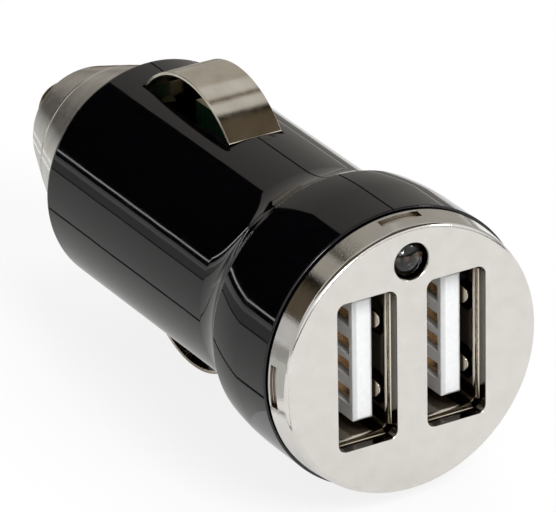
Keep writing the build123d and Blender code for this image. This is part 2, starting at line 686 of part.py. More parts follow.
def on_right(size, y, z, lift=0.0):
    """Block of a given size on the right face of the main board."""
    low = MAIN_BOARD_RIGHT + SEAT + lift
    return block((low, low + size[0]), (y - size[1] / 2, y + size[1] / 2), (z - size[2] / 2, z + size[2] / 2))


def converter_chip():
    """Moulded body of the switching converter."""
    body = on_right(CHIP, CHIP_Y, 0, CHIP_PIN[0] / 2)
    return chamfer(body.edges().group_by(Axis.X)[-1], CHIP[0] / 6)


def chip_pins():
    """Bent pins along both sides of the chip."""
    pins = []
    for side in (-1, 1):
        for place in range(4):
            y = CHIP_Y + (place - 1.5) * CHIP_PITCH
            foot_z = side * (CHIP[2] / 2 + SEAT + CHIP_PIN[2] / 2)
            foot = on_right(CHIP_PIN, y, foot_z)
            rise_z = side * (CHIP[2] / 2 + SEAT + CHIP_PIN[0] / 2)
            pins.append(foot + on_right((CHIP[0] / 2, CHIP_PIN[1], CHIP_PIN[0]), y, rise_z))
    return Compound(children=pins)


def end_pieces(size, y, z):
    """Tinned ends on both sides of a part along Y."""
    reach = size[1] / 2 + END_CAP / 2 + SEAT
    end = (size[0] / 2, END_CAP, END_CAP_WIDTH)
    return Compound(children=[on_right(end, y + side * reach, z) for side in (-1, 1)])


def rectifier_diode():
    """Moulded diode body."""
    body = on_right(DIODE, DIODE_Y, DIODE_Z)
    return chamfer(body.edges().group_by(Axis.X)[-1], DIODE[0] / 6)


def input_fuse():
    """Ceramic fuse body."""
    body = on_right(FUSE, FUSE_Y, FUSE_Z)
    return fillet(body.edges().filter_by(Axis.Y).group_by(Axis.X)[-1], FUSE[0] / 5)


def chip_resistors():
    """Row of small resistors near the port board."""
    places = [(place - (RESISTORS - 1) / 2) * RESISTOR_STEP for place in range(RESISTORS)]
    return Compound(children=[on_right(RESISTOR, RESISTOR_Y, z) for z in places])


def pieces():
    """Every sub-part by its node name."""
    left_shell, right_shell = half_shells()
    parts = {
        "left_shell": left_shell,
        "right_shell": right_shell,
        "front_cap": front_cap(),
        "lamp_lens": lamp_lens(),
        "lamp_leads": lamp_leads(),
        "port_board": port_board(),
        "board_pins": board_pins(),
        "main_board": main_board(),
        "top_contact": leaf_contact(0),
        "bottom_contact": leaf_contact(180),
        "nose_collar": nose_collar(),
        "nose_cap": nose_cap(),
        "tip_contact": tip_contact(),
        "tip_spring": tip_spring(),
        "spring_terminal": spring_terminal(),
        "inductor_core": inductor_core(),
        "inductor_winding": inductor_winding(),
        "input_capacitor": capacitor_can(CAN_SPACING / 2),
        "output_capacitor": capacitor_can(-CAN_SPACING / 2),
        "capacitor_bases": capacitor_bases(),
        "converter_chip": converter_chip(),
        "chip_pins": chip_pins(),
        "rectifier_diode": rectifier_diode(),
        "diode_tabs": end_pieces(DIODE, DIODE_Y, DIODE_Z),
        "input_fuse": input_fuse(),
        "fuse_caps": end_pieces(FUSE, FUSE_Y, FUSE_Z),
        "chip_resistors": chip_resistors(),
    }
    for side, x in (("left", LEFT), ("right", RIGHT)):
        parts[side + "_port_shell"] = socket_shell(x)
        parts[side + "_port_tongue"] = socket_tongue(x)
        parts[side + "_port_contacts"] = socket_blades(x)
    return parts


os.makedirs("parts", exist_ok=True)
for name, piece in pieces().items():
    export_step(piece, "parts/" + name + ".step")
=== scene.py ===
import json
import math
import bmesh
import bpy
from mathutils import Matrix, Vector


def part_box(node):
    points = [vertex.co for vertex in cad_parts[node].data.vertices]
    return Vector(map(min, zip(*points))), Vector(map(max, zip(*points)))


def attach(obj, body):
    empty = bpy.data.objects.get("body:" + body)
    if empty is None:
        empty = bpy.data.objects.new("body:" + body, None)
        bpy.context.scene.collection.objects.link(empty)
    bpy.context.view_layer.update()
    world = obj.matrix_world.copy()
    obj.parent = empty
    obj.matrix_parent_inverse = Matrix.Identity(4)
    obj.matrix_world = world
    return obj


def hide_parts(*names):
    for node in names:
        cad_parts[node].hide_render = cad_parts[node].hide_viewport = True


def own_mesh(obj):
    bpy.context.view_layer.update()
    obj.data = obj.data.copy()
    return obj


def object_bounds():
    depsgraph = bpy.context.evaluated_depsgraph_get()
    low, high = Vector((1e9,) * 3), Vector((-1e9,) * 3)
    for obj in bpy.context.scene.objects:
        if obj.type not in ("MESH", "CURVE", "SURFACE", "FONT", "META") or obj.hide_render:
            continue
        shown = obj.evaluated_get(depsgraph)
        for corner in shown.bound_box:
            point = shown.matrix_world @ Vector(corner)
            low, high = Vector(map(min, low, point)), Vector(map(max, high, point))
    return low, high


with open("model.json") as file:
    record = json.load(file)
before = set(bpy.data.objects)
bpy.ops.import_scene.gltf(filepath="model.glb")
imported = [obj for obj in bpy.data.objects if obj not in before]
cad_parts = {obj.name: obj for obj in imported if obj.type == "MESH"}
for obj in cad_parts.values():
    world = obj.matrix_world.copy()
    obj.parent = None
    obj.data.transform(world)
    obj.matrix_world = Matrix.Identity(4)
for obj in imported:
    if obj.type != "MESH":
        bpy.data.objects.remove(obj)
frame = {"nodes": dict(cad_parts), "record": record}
cad_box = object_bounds()

# Car USB charger plug
# Shapes are written in millimetres in the row frame, and become metres when they are placed.
MM = 0.001
FIT = 0.05                 # gap between pieces that fit together
CLEAR = 1.0                # spare length of a cutter
FINE_ROUND = 0.1           # smallest fillet of a section

# Steps of the curves
TURN_STEPS = 256           # columns of a turned piece
ARC_STEPS = 8              # along a fillet
DOME_STEPS = 32
ROLL_STEPS = 12
COVE_STEPS = 24
LEAF_STEPS = 96
FINGER_COLUMNS = 16
FINGER_ROWS = 24
ON_AXIS = 1e-6             # a smaller radius is a point on the axis

# Broken edges
MOULDING_EDGE = 0.07
SHEET_EDGE = 0.05
LEAF_EDGE = 0.06
TONGUE_EDGE = 0.06
BLADE_EDGE = 0.04
FRAME_EDGE = 0.03
EDGE_ANGLE = 35            # a sharper edge is broken, in degrees
SHEET_ANGLE = 40
EDGE_SEGMENTS = 3
NORMAL_WEIGHT = 100
WELD = 1e-4                # points of a CAD mesh nearer than this are one
FLAT_ANGLE = 1             # facets that turn by less are one face, in degrees


def span(node):
    """Lowest and highest corner of a CAD node, in millimetres."""
    low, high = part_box(node)
    return low / MM, high / MM


# Housing and cap
cap_low, cap_high = span("front_cap")
shell_low, shell_high = span("right_shell")
HEAD_RADIUS = shell_high.x
FACE_Y = cap_low.y
RIM_FRONT = shell_low.y
PARTING = shell_low.x
BARREL_END = shell_high.y
CAP_RADIUS = cap_high.x
CAP_REAR = cap_high.y
CAP_DRAFT = 0.3            # radius lost from the skirt's rear to the face
CAP_SKIRT = 0.6
CAP_FACE = 0.95
CAP_ROUND = 0.45
SEAM_GAP = 0.2
SEAM_Y = CAP_REAR + SEAM_GAP
SEAM_ROUND = 0.15
RIM_RADIUS = CAP_RADIUS - CAP_SKIRT - FIT
RIM_WALL = 0.55
HEAD_BORE = RIM_RADIUS - RIM_WALL
HEAD_DROP = 0.3            # radius lost over the head's rolled edge
HEAD_EDGE_RADIUS = HEAD_RADIUS - HEAD_DROP
HEAD_ROLL = 4.0
NECK_LENGTH = 5.1
NECK_DIP = 0.4
BARREL_RADIUS = 10.25
BARREL_END_ROUND = 0.7
BORE = 9.15
LIP_RADIUS = 8.0
LIP_LENGTH = 1.0
RIB = 0.95
POCKETS = 4                # round the skirt
POCKET_WIDTH = 3.7
POCKET_LENGTH = 0.85
POCKET_DEPTH = 0.35
POCKET_FLOOR = CAP_RADIUS - POCKET_DEPTH
POCKET_BORDER = 0.25
POCKET_REAR = CAP_REAR - POCKET_BORDER

# Port board seat in the head
board_low, board_high = span("port_board")
BOARD_GAP = 0.05

# USB sockets
socket_low, socket_high = span("right_port_shell")
PORT_X = (socket_low.x + socket_high.x) / 2
PORT_WIDTH = 5.5
PORT_HEIGHT = 13.2
PORT_CORNER = 0.75
PORT_EDGE = 0.12
SHEET = 0.3
SOCKET_FRONT = socket_low.y
SOCKET_LENGTH = 10.1       # without the tabs
SOCKET_REAR = SOCKET_FRONT + SOCKET_LENGTH
SOCKET_WIDTH = 5.12
SOCKET_HEIGHT = 12.5
SOCKET_CORNER = 0.35
FLARE = 0.25
FLARE_LENGTH = 0.55
FLARE_BOW = 0.2            # share of the flare that is reached half-way
FINGER_Z = 3.1
FINGER_WIDTH = 1.7
FINGER_BEND = 0.55
FINGER_DIP = 0.75          # share of its length at which the finger is deepest
FINGER_HALF = SHEET * 0.49         # half its thickness, a hair less than the wall's
WINDOW_INSET = 0.75
WINDOW_FRONT = SOCKET_FRONT + WINDOW_INSET
WINDOW_LENGTH = 4.0
WINDOW_HEIGHT = 2.9
WINDOW_CORNER = 0.58
TAB_WIDTH = 1.2
TAB_INSET = 0.01

# Lamp, with an anvil, its cup and a post inside
lamp_low, lamp_high = span("lamp_lens")
LAMP_Z = (lamp_low.z + lamp_high.z) / 2
LAMP_RIM_RADIUS = lamp_high.x
LAMP_RIM = 0.25
LAMP_RADIUS = LAMP_RIM_RADIUS - LAMP_RIM
LAMP_RIM_THICKNESS = 1.0
LAMP_DOME = 0.6
LAMP_CUP = 0.4             # radius of the cup
LAMP_CUP_MOUTH = LAMP_CUP * 0.9
LAMP_FRAME_SINK = 0.1
LAMP_ANVIL = (-LAMP_RADIUS + LAMP_CUP, LAMP_CUP * 0.8)
LAMP_ANVIL_SINK = LAMP_CUP * 0.7
LAMP_POST = (LAMP_CUP * 1.4, LAMP_RADIUS - LAMP_CUP * 0.4)
LAMP_POST_SINK = LAMP_CUP * 0.4

# Leaf contacts
leaf_low, leaf_high = span("top_contact")
CONTACT_MIDDLE = (leaf_low.y + leaf_high.y) / 2
CONTACT_HALF_WIDTH = leaf_high.x
ARCH_TOP = leaf_high.z
FOOT_LOW = leaf_low.z
FOOT_END = (leaf_high.y - leaf_low.y) / 2
FOOT_LENGTH = 1.6
FOOT_BEND = 0.15
FOOT_HEEL = 0.3
LEG = FOOT_END - FOOT_LENGTH
CONTACT_SHEET = 0.3
LEG_TOP = BARREL_RADIUS - CONTACT_SHEET / 2
SLOT_SIDE_GAP = 0.1
SLOT_END_GAP = 0.25
SLOT_HALF_WIDTH = CONTACT_HALF_WIDTH + SLOT_SIDE_GAP
SLOT_HALF_LENGTH = LEG + SLOT_END_GAP

# Nose
collar_low, collar_high = span("nose_collar")
nose_low, nose_high = span("nose_cap")
tip_low, tip_high = span("tip_contact")
COLLAR_RADIUS = collar_high.x
COLLAR_BASE = BARREL_END + FIT
COLLAR_ROUND = 0.12
COLLAR_TAPER = 2.1         # radius lost up to the step
STEP_Y = collar_high.y
STEP_RADIUS = COLLAR_RADIUS - COLLAR_TAPER
STEP_ROUND = 0.15
COLLAR_WALL = 0.5
COLLAR_BORE = STEP_RADIUS - COLLAR_WALL
COLLAR_FLANGE = 0.85
COLLAR_FLANGE_RADIUS = BORE - 4 * FIT
NOSE_CAP_Y = STEP_Y + FIT
NOSE_Y = nose_high.y
NOSE_SHOULDER = 5.25       # from the collar to the shoulder of the nose cap
NOSE_TAPER = 2.05          # radius lost up to the shoulder
NOSE_SHOULDER_ROUND = 4.0
NOSE_WALL = 1.1
NOSE_FRONT_WALL = 3.2
NOSE_FRONT_ROUND = 0.35
NOSE_LAND = 0.8            # ring round the pin
TIP_RADIUS = 2.4
TIP_PLAY = 0.08
TIP_HOLE = TIP_RADIUS + TIP_PLAY
NOSE_FRONT_RADIUS = TIP_RADIUS + NOSE_LAND
TIP_FLANGE_RADIUS = tip_high.x
TIP_FLANGE_THICKNESS = 1.0
TIP_DOME = 1.5
TIP_STUB_RADIUS = 1.5
TIP_STUB_ROUND = 0.2
TIP_SEAT = NOSE_Y - NOSE_FRONT_WALL

# Finishes
NOISE_SPAN = (0.3, 0.7)            # where nearly all of a noise's values lie
# Painted shade in hollows: its dark tone, and the share of open sky where it is full and where it ends
HOLLOW_SHADE_TONE = (0.12, 0.08, 0.045)
HOLLOW_SHADE_SKY = (0.45, 0.8)           # share of open sky in a hollow and on open plate
FACE_TURN = (-0.98, -0.9)          # Y of the normal on the cap's face and at its edge
FACE_ROUGHNESS = (0.3, 0.09)
# Painted shade on the walls of the openings: where it comes in along the normal's Y, and its dark tone
WALL_TURN = (-0.9, -0.6)           # Y of the normal from the edge to the walls of the openings
OPENING_SHADE_TONE = (0.12, 0.105, 0.085)
TRACK_SCALE = 700.0                # of the board's pattern, on a metre
WIRE_SCALE = 1300.0                # of the winding's pattern, on a metre
# Plate: dark and light tone, least and most roughness, size and depth of the grain, reach of the painted
# shade in hollows
PLATED = (
    ("bright_nickel", (0.64, 0.585, 0.49), (0.76, 0.705, 0.605), (0.09, 0.17), (0.1, 0.003), 3.0),
    ("worn_tip", (0.40, 0.31, 0.20), (0.62, 0.53, 0.40), (0.28, 0.45), (0.3, 0.008), 0.4),
    ("gold_contact", (0.34, 0.18, 0.07), (0.54, 0.31, 0.12), (0.18, 0.32), (0.2, 0.003), 0.7),
    ("capacitor_can", (0.66, 0.67, 0.69), (0.78, 0.79, 0.81), (0.2, 0.35), (0.1, 0.004), 1.0),
    ("tinned_lead", (0.58, 0.58, 0.60), (0.74, 0.74, 0.75), (0.2, 0.4), (0.15, 0.005), 1.0),
)
# Moulded and sintered stuff: dark and light tone, size of the specks, roughness, depth of the skin
SPECKLED = (
    ("white_insulator", (0.82, 0.83, 0.84), (0.86, 0.87, 0.88), 0.5, 0.42, 0.004),
    ("ferrite", (0.02, 0.02, 0.022), (0.045, 0.045, 0.05), 0.15, 0.7, 0.02),
    ("chip_black", (0.012, 0.012, 0.013), (0.022, 0.022, 0.024), 0.1, 0.55, 0.006),
    ("ceramic_white", (0.66, 0.63, 0.56), (0.76, 0.74, 0.69), 0.2, 0.5, 0.006),
)

# Camera, in millimetres and degrees
CAMERA_PLACE = (-244.8, -411.9, 237.1)
CAMERA_YAW = 30.44
CAMERA_PITCH = 26.08
CAMERA_ROLL = -0.963
CAMERA_LENS = 422.1
CAMERA_CLIP = 0.01         # metres

# Studio, in metres and degrees
AMBIENT = 0.4
WORLD_SHARES = (1.0, 0.35)         # own light to the eye, and in gloss and glass
FLOOR_SHARES = (0.85, 0.6)
FLOOR_TONE = (0.9, 0.9, 0.9, 1.0)
FLOOR_REACH = 6.0
PANEL_DISTANCE = 0.8
PANEL_COLUMNS = 16
PANEL_ROWS = 8
KEY_GAP = 0.04
CARD_LIFT = 0.0001
NOSE_LAYER = 5.5           # in lifts, over the far cards and under the tip's card and the lines
WHITE = (1.0, 1.0, 1.0, 1.0)
BRIGHT = (1.0, 1.0, 1.0)
TAN = (0.40, 0.38, 0.34)
GREY = (0.42, 0.40, 0.37)
DIM = (0.10, 0.095, 0.09)
PALE = (0.58, 0.585, 0.57)
BROWN = (0.10, 0.08, 0.055)
BLACK = (0.0, 0.0, 0.0)
NOSE_RIGHT = (0.33, 0.31, 0.28)
# Panels that the gloss mirrors: azimuths from +Y towards +X, elevations, and colour
PANELS = (
    ("left_back", (-46, 0), (5, 40), BLACK),
    ("left_glow", (-46, 0), (4.1, 5), (3.0, 3.0, 3.0)),
    ("left_strip", (-46, 0), (1.5, 4.1), BLACK),
    ("left_edge", (-62, -46), (14, 40), BROWN),
    ("left_bright", (-80, -62), (25, 70), BRIGHT),
    ("left_upper", (-25, 0), (40, 52), BLACK),
    ("left_high", (-60, -25), (40, 72), TAN),
    ("mid_high", (-25, 30), (52, 72), TAN),
    ("right_upper", (0, 30), (44, 52), GREY),
    ("right_back", (0, 75), (6, 44), GREY),
    ("right_low", (24, 75), (-1, 6), GREY),
    ("front_horizon", (95, 240), (-0.6, 4), (0.02, 0.018, 0.015)),
    ("front_white", (100, 240), (4, 38), BRIGHT),
    ("front_high", (109, 280), (38, 76), BROWN),
    ("dark_band", (94, 109), (38, 76), (0.02, 0.014, 0.008)),
    ("high_band", (57, 66), (50, 75), (0.16, 0.13, 0.10)),
)
# Small bright panels, each nearer than the one before, for sharp highlights
KEYS = (
    ("key_left", (178, 202), (12, 24), (4.0, 4.0, 4.0)),
    ("key_right", (130, 136), (20, 28), (16.0, 16.0, 16.0)),
    ("key_spot", (179, 191), (13, 22), (28.0, 28.0, 28.0)),
)
# Tones that the nose mirrors: a panel behind it, and the floor from beside the plug to far behind it
NOSE_BACK = ((0, 24), (-2, 6))
NOSE_FLOOR = ((-0.03, 0.02), (0.068, 0.135))
NOSE_FAR = ((0.02, 0.11), (0.16, 0.75))
# Cards on the floor, for reflections only: X, Y and colour
FLOOR_CARDS = (
    ("front_far", (-4.0, 4.0), (-5.0, -0.3), (0.03, 0.028, 0.025)),
    ("left_floor", (-0.5, 0.004), (0.0, 0.5), PALE),
    ("left_far", (-0.5, -0.085), (0.06, 0.5), (0.36, 0.35, 0.34)),
    ("far_floor", (-0.03, 0.02), (0.135, 0.75), DIM),
    ("far_right", (0.02, 0.3), (0.09, 0.75), NOSE_RIGHT),
    ("tip_floor", (0.006, 0.035), (0.058, 0.105), (0.12, 0.09, 0.06)),
    ("line_far", (-0.09, -0.082), (-0.05, 0.5), BLACK),
    ("line_near", (-0.0196, -0.0188), (-0.05, 0.5), BLACK),
    ("nose_line", (-0.03, 0.004), (0.0625, 0.0631), (1.6, 1.6, 1.6)),
    ("nose_line_far", (-0.03, 0.004), (0.0685, 0.0692), (1.6, 1.6, 1.6)),
)
# Lamps: place, width and power in watts
LIGHTS = (
    ("top_light", (0.2, 0.2, 0.45), 0.4, 1.2),
    ("front_light", (0.0, -0.5, 0.45), 0.3, 3.4),
)


def new_piece(name, work):
    """Object in the scene from a working mesh, which is used up."""
    mesh = bpy.data.meshes.new(name)
    work.to_mesh(mesh)
    work.free()
    piece = bpy.data.objects.new(name, mesh)
    bpy.context.scene.collection.objects.link(piece)
    return piece


def solid(name, rings, ring_shaped=False):
    """Closed mesh through rings of points; in a ring-shaped piece the last ring meets the first."""
    work = bmesh.new()
    loops = [[work.verts.new(point) for point in ring] for ring in rings]
    pairs = list(zip(loops, loops[1:]))
    if ring_shaped:
        pairs.append((loops[-1], loops[0]))
    else:
        for loop in (loops[0], loops[-1]):
            if len(loop) > 2:
                work.faces.new(loop)
    for first, second in pairs:
        count = max(len(first), len(second))
        for here in range(count):
            after = (here + 1) % count
            corners = [
                first[here % len(first)],
                first[after % len(first)],
                second[after % len(second)],
                second[here % len(second)],
            ]
            work.faces.new(list(dict.fromkeys(corners)))
    bmesh.ops.recalc_face_normals(work, faces=work.faces)
    return new_piece(name, work)


def lathe(name, section, ring_shaped, centre_z=0.0):
    """Piece turned about an axis along Y, from its section as (radius, station) points."""
    turns = [2 * math.pi * step / TURN_STEPS for step in range(TURN_STEPS)]
    rings = []
    for radius, y in section:
        if radius < ON_AXIS:
            rings.append([(0.0, y, centre_z)])
            continue
        rings.append([(radius * math.sin(turn), y, centre_z + radius * math.cos(turn)) for turn in turns])
    return solid(name, rings, ring_shaped)


def block(name, x, y, z):
    """Box between two values along each axis."""
    corners = ((x[0], z[0]), (x[1], z[0]), (x[1], z[1]), (x[0], z[1]))
    return solid(name, [[(cx, cy, cz) for cx, cz in corners] for cy in y])


def rounded(*corners):
    """Closed section through (radius, station, fillet) corners, with each fillet as a short arc."""
    points = []
    for number, (radius, y, fillet) in enumerate(corners):
        here = Vector((radius, y))
        if not fillet:
            points.append(here)
            continue
        back = (Vector(corners[number - 1][:2]) - here).normalized()
        ahead = (Vector(corners[(number + 1) % len(corners)][:2]) - here).normalized()
        half = back.angle(ahead) / 2
        centre = here + (back + ahead).normalized() * fillet / math.sin(half)
        first = (here + back * fillet / math.tan(half) - centre) / fillet
        last = (here + ahead * fillet / math.tan(half) - centre) / fillet
        for step in range(ARC_STEPS + 1):
            points.append(centre + first.slerp(last, step / ARC_STEPS) * fillet)
    return points


def arc(start, middle, end, steps):
    """Points of the circle through three points, from the start to the end."""
    a, b, c = (complex(*point) for point in (start, middle, end))
    w = (c - a) / (b - a)
    centre = a + (b - a) * (w - abs(w) ** 2) / (2j * w.imag)
    turn = (c - centre) / (a - centre)
    sweep = math.atan2(turn.imag, turn.real)
    half = (b - centre) / (a - centre)
    if sweep * math.atan2(half.imag, half.real) < 0:
        sweep -= math.copysign(2 * math.pi, sweep)
    spots = []
    for step in range(steps + 1):
        angle = sweep * step / steps
        spot = centre + (a - centre) * complex(math.cos(angle), math.sin(angle))
        spots.append((spot.real, spot.imag))
    return spots


def dome(radius, low, height):
    """Points of a round dome from its middle out; a negative height gives a dome that looks the other way."""
    ball = (radius ** 2 + height ** 2) / (2 * height)
    drop = ball - math.copysign(math.sqrt(ball ** 2 - radius ** 2 / 4), height)
    return arc((0.0, low), (radius / 2, low + drop), (radius, low + height), DOME_STEPS)


def rounded_rectangle(width, height, corner):
    """Loop of (x, z) points with quarter-round corners."""
    points = []
    for quarter, (sx, sz) in enumerate(((1, 1), (-1, 1), (-1, -1), (1, -1))):
        for step in range(ARC_STEPS + 1):
            angle = math.radians(90) * (quarter + step / ARC_STEPS)
            x = sx * (width / 2 - corner) + corner * math.cos(angle)
            z = sz * (height / 2 - corner) + corner * math.sin(angle)
            points.append((x, z))
    return points


def apply_modifiers(piece):
    """Give the piece the mesh that its modifiers make."""
    graph = bpy.context.evaluated_depsgraph_get()
    mesh = bpy.data.meshes.new_from_object(piece.evaluated_get(graph))
    piece.modifiers.clear()
    piece.data = mesh


def combine(piece, operation, *tools):
    """Cut, join or intersect a piece with other solids, which are used up."""
    for tool in tools:
        change = piece.modifiers.new("combine", "BOOLEAN")
        change.operation = operation
        change.solver = "EXACT"
        change.object = tool
        apply_modifiers(piece)
        bpy.data.objects.remove(tool)


def soften(piece, width, angle=EDGE_ANGLE):
    """Break the sharp edges of a piece, unless the width is 0, and shade it smooth."""
    piece.data.shade_smooth()
    if width:
        bevel = piece.modifiers.new("edges", "BEVEL")
        bevel.width = width
        bevel.segments = EDGE_SEGMENTS
        bevel.limit_method = "ANGLE"
        bevel.angle_limit = math.radians(angle)
        bevel.use_clamp_overlap = False
    normals = piece.modifiers.new("normals", "WEIGHTED_NORMAL")
    normals.weight = NORMAL_WEIGHT
    normals.keep_sharp = True
    apply_modifiers(piece)


def place(piece, body, slot, *nodes, look=None):
    """Turn a finished piece into metres and let it stand for its CAD nodes.

    A look, where one is named, takes the place of the slot's own material.
    """
    piece.data.transform(Matrix.Scale(MM, 4))
    piece.data.materials.clear()
    piece.data.materials.append(MATERIALS[look or slot])
    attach(piece, body)
    if nodes:
        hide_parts(*nodes)


def dressed(node, body, slot, edge):
    """Put a copy of a flat-sided CAD node, with its edges broken, in the node's place."""
    work = bmesh.new()
    work.from_mesh(frame["nodes"][node].data)
    work.transform(Matrix.Scale(1 / MM, 4))
    bmesh.ops.remove_doubles(work, verts=work.verts, dist=WELD)
    bmesh.ops.dissolve_limit(work, angle_limit=math.radians(FLAT_ANGLE), verts=work.verts, edges=work.edges)
    piece = new_piece(node + "_finish", work)
    soften(piece, edge)
    place(piece, body, slot, node)


def add_node(tree, kind, links=(), **inputs):
    """New shader node with linked and constant inputs."""
    node = tree.nodes.new("ShaderNode" + kind)
    for socket, value in inputs.items():
        node.inputs[socket.replace("_", " ")].default_value = value
    for socket, source in dict(links).items():
        tree.links.new(source, node.inputs[socket])
    return node


def calculate(tree, operation, *values):
    """Result of a sum with numbers and the outputs of other nodes."""
    node = add_node(tree, "Math")
    node.operation = operation
    for socket, value in zip(node.inputs, values):
        if isinstance(value, float):
            socket.default_value = value
        else:
            tree.links.new(value, socket)
    return node.outputs[0]


class Finish:
    """A material with one surface shader and textures in the row frame, with sizes in millimetres."""

    def __init__(self, name, color, roughness, **sockets):
        self.material = bpy.data.materials.new(name)
        self.material.use_nodes = True
        self.tree = self.material.node_tree
        self.surface = self.tree.nodes["Principled BSDF"]
        self.coordinates = self.add("TexCoord").outputs
        self.set("Base Color", (*color, 1.0))
        self.set("Roughness", roughness)
        for socket, value in sockets.items():
            self.set(socket.replace("_", " ").title().replace("Ior", "IOR"), value)

    def set(self, socket, value):
        self.surface.inputs[socket].default_value = value

    def add(self, kind, links=(), **inputs):
        return add_node(self.tree, kind, links, **inputs)

    def link(self, source, socket):
        self.tree.links.new(source, self.surface.inputs[socket])

    def stretched(self, scale):
        """Row-frame coordinates scaled apart along the axes."""
        mapping = self.add("Mapping", {"Vector": self.coordinates["Object"]}, Scale=scale)
        return mapping.outputs["Vector"]

    def noise(self, size, detail=3.0, stretch=(1.0, 1.0, 1.0)):
        """Noise whose features are about one size."""
        vector = self.stretched([part / (size * MM) for part in stretch])
        return self.add("TexNoise", {"Vector": vector}, Scale=1.0, Detail=detail).outputs["Fac"]

    def normal(self, axis):
        """Share of the surface's normal along an axis."""
        return self.add("SeparateXYZ", {"Vector": self.coordinates["Normal"]}).outputs[axis]

    def ramp(self, factor, *stops):
        """Colour ramp with two (position, colour) stops."""
        node = self.add("ValToRGB", {"Fac": factor})
        for point, (position, color) in zip(node.color_ramp.elements, stops):
            point.position = position
            point.color = (*color, 1.0)
        return node.outputs["Color"]

    def mapped(self, value, start, end, low=0.0, high=1.0):
        """Value carried over from one range to another."""
        node = self.add("MapRange", {"Value": value}, From_Min=start, From_Max=end, To_Min=low, To_Max=high)
        return node.outputs["Result"]

    def spread(self, noise, low, high):
        """Noise spread over a range of values."""
        return self.mapped(noise, *NOISE_SPAN, low, high)

    def mixed(self, share, color, tone):
        """Colour that gives way to one tone by a share."""
        node = self.add("MixRGB", {"Fac": share, "Color1": color}, Color2=(*tone, 1.0))
        return node.outputs["Color"]

    def bump(self, height, depth):
        """Relief of a depth."""
        node = self.add("Bump", {"Height": height}, Strength=1.0, Distance=depth * MM)
        self.link(node.outputs["Normal"], "Normal")

    def painted_hollow_shade(self, color, reach):
        """Colour with painted shade: it turns dark where the surface lies in a hollow, within a reach."""
        sky = self.add("AmbientOcclusion", Distance=reach * MM).outputs["AO"]
        return self.mixed(self.mapped(sky, *HOLLOW_SHADE_SKY, 1.0, 0.0), color, HOLLOW_SHADE_TONE)


def gloss_black():
    """Polished moulding with a faint wave."""
    finish = Finish("gloss_black", (0.0014, 0.0011, 0.0016), 0.05)
    tone = finish.ramp(finish.noise(0.6), (0.3, (0.001, 0.0008, 0.0012)), (0.8, (0.002, 0.0016, 0.0022)))
    finish.link(tone, "Base Color")
    finish.link(finish.spread(finish.noise(3.0), 0.03, 0.07), "Roughness")
    finish.bump(finish.noise(5.0, 1.0), 0.012)
    return finish.material


def plated(name, dark, light, roughness, grain, reach):
    """Plate with cloudy tone and a fine grain, and painted shade in hollows."""
    finish = Finish(name, light, roughness[0], metallic=1.0)
    cloudy = finish.ramp(finish.noise(1.8, 5.0), (0.3, dark), (0.7, light))
    # painted shade in hollows, from ambient occlusion
    finish.link(finish.painted_hollow_shade(cloudy, reach), "Base Color")
    finish.link(finish.spread(finish.noise(0.9, 4.0), *roughness), "Roughness")
    size, depth = grain
    finish.bump(finish.noise(size, 2.0), depth)
    return finish.material


def satin_nickel():
    """Blasted face with a shinier skirt and edge, painted shade on the walls of the openings, and painted
    shade in the pockets.
    """
    finish = Finish("satin_nickel", (0.78, 0.75, 0.71), 0.3, metallic=1.0)
    plate = finish.ramp(finish.noise(1.6, 5.0), (0.3, (0.655, 0.632, 0.595)), (0.7, (0.705, 0.682, 0.645)))
    along = finish.normal("Y")
    facing = finish.mapped(along, *FACE_TURN, *FACE_ROUGHNESS)
    cloud = finish.spread(finish.noise(0.9, 4.0), -0.02, 0.02)
    finish.link(calculate(finish.tree, "ADD", facing, cloud), "Roughness")
    # Painted shade on the walls of the openings, inside the skirt and on faces turned away from the face
    reach = finish.add("VectorMath", {0: finish.stretched((1.0, 0.0, 1.0))})
    reach.operation = "LENGTH"
    skirt = (CAP_RADIUS - CAP_SKIRT) * MM
    inner = finish.mapped(reach.outputs["Value"], skirt - MM, skirt, 1.0, 0.0)
    opening_shade = calculate(finish.tree, "MULTIPLY", inner, finish.mapped(along, *WALL_TURN))
    # painted shade on the opening walls, and painted shade in hollows over the whole cap
    finish.link(finish.painted_hollow_shade(finish.mixed(opening_shade, plate, OPENING_SHADE_TONE), 1.0), "Base Color")
    finish.bump(finish.noise(0.12, 2.0), 0.005)
    return finish.material


def turned_nose():
    """Plate with the fine rings of a lathe."""
    finish = Finish("plated_nose", (0.78, 0.75, 0.70), 0.2, metallic=1.0)
    tone = finish.ramp(finish.noise(2.2, 5.0), (0.3, (0.66, 0.62, 0.56)), (0.7, (0.80, 0.77, 0.72)))
    finish.link(tone, "Base Color")
    finish.link(finish.spread(finish.noise(1.2, 4.0), 0.08, 0.14), "Roughness")
    finish.bump(finish.noise(0.15, 2.0, (0.05, 1.0, 0.05)), 0.004)
    return finish.material


def speckled(name, dark, light, size, roughness, depth):
    """Moulded or sintered stuff: two close tones, uneven gloss and a fine skin."""
    finish = Finish(name, light, roughness)
    finish.link(finish.ramp(finish.noise(size, 4.0), (0.35, dark), (0.65, light)), "Base Color")
    uneven = finish.spread(finish.noise(size * 2), roughness * 0.85, min(1.0, roughness * 1.15))
    finish.link(uneven, "Roughness")
    finish.bump(finish.noise(size / 2, 2.0), depth)
    return finish.material


def clear_lens():
    """Smoky clear resin with a faint wave."""
    finish = Finish("clear_lens", (0.46, 0.44, 0.50), 0.02, ior=1.5, transmission_weight=1.0)
    finish.link(finish.spread(finish.noise(0.8), 0.005, 0.04), "Roughness")
    finish.bump(finish.noise(1.2, 1.0), 0.01)
    return finish.material


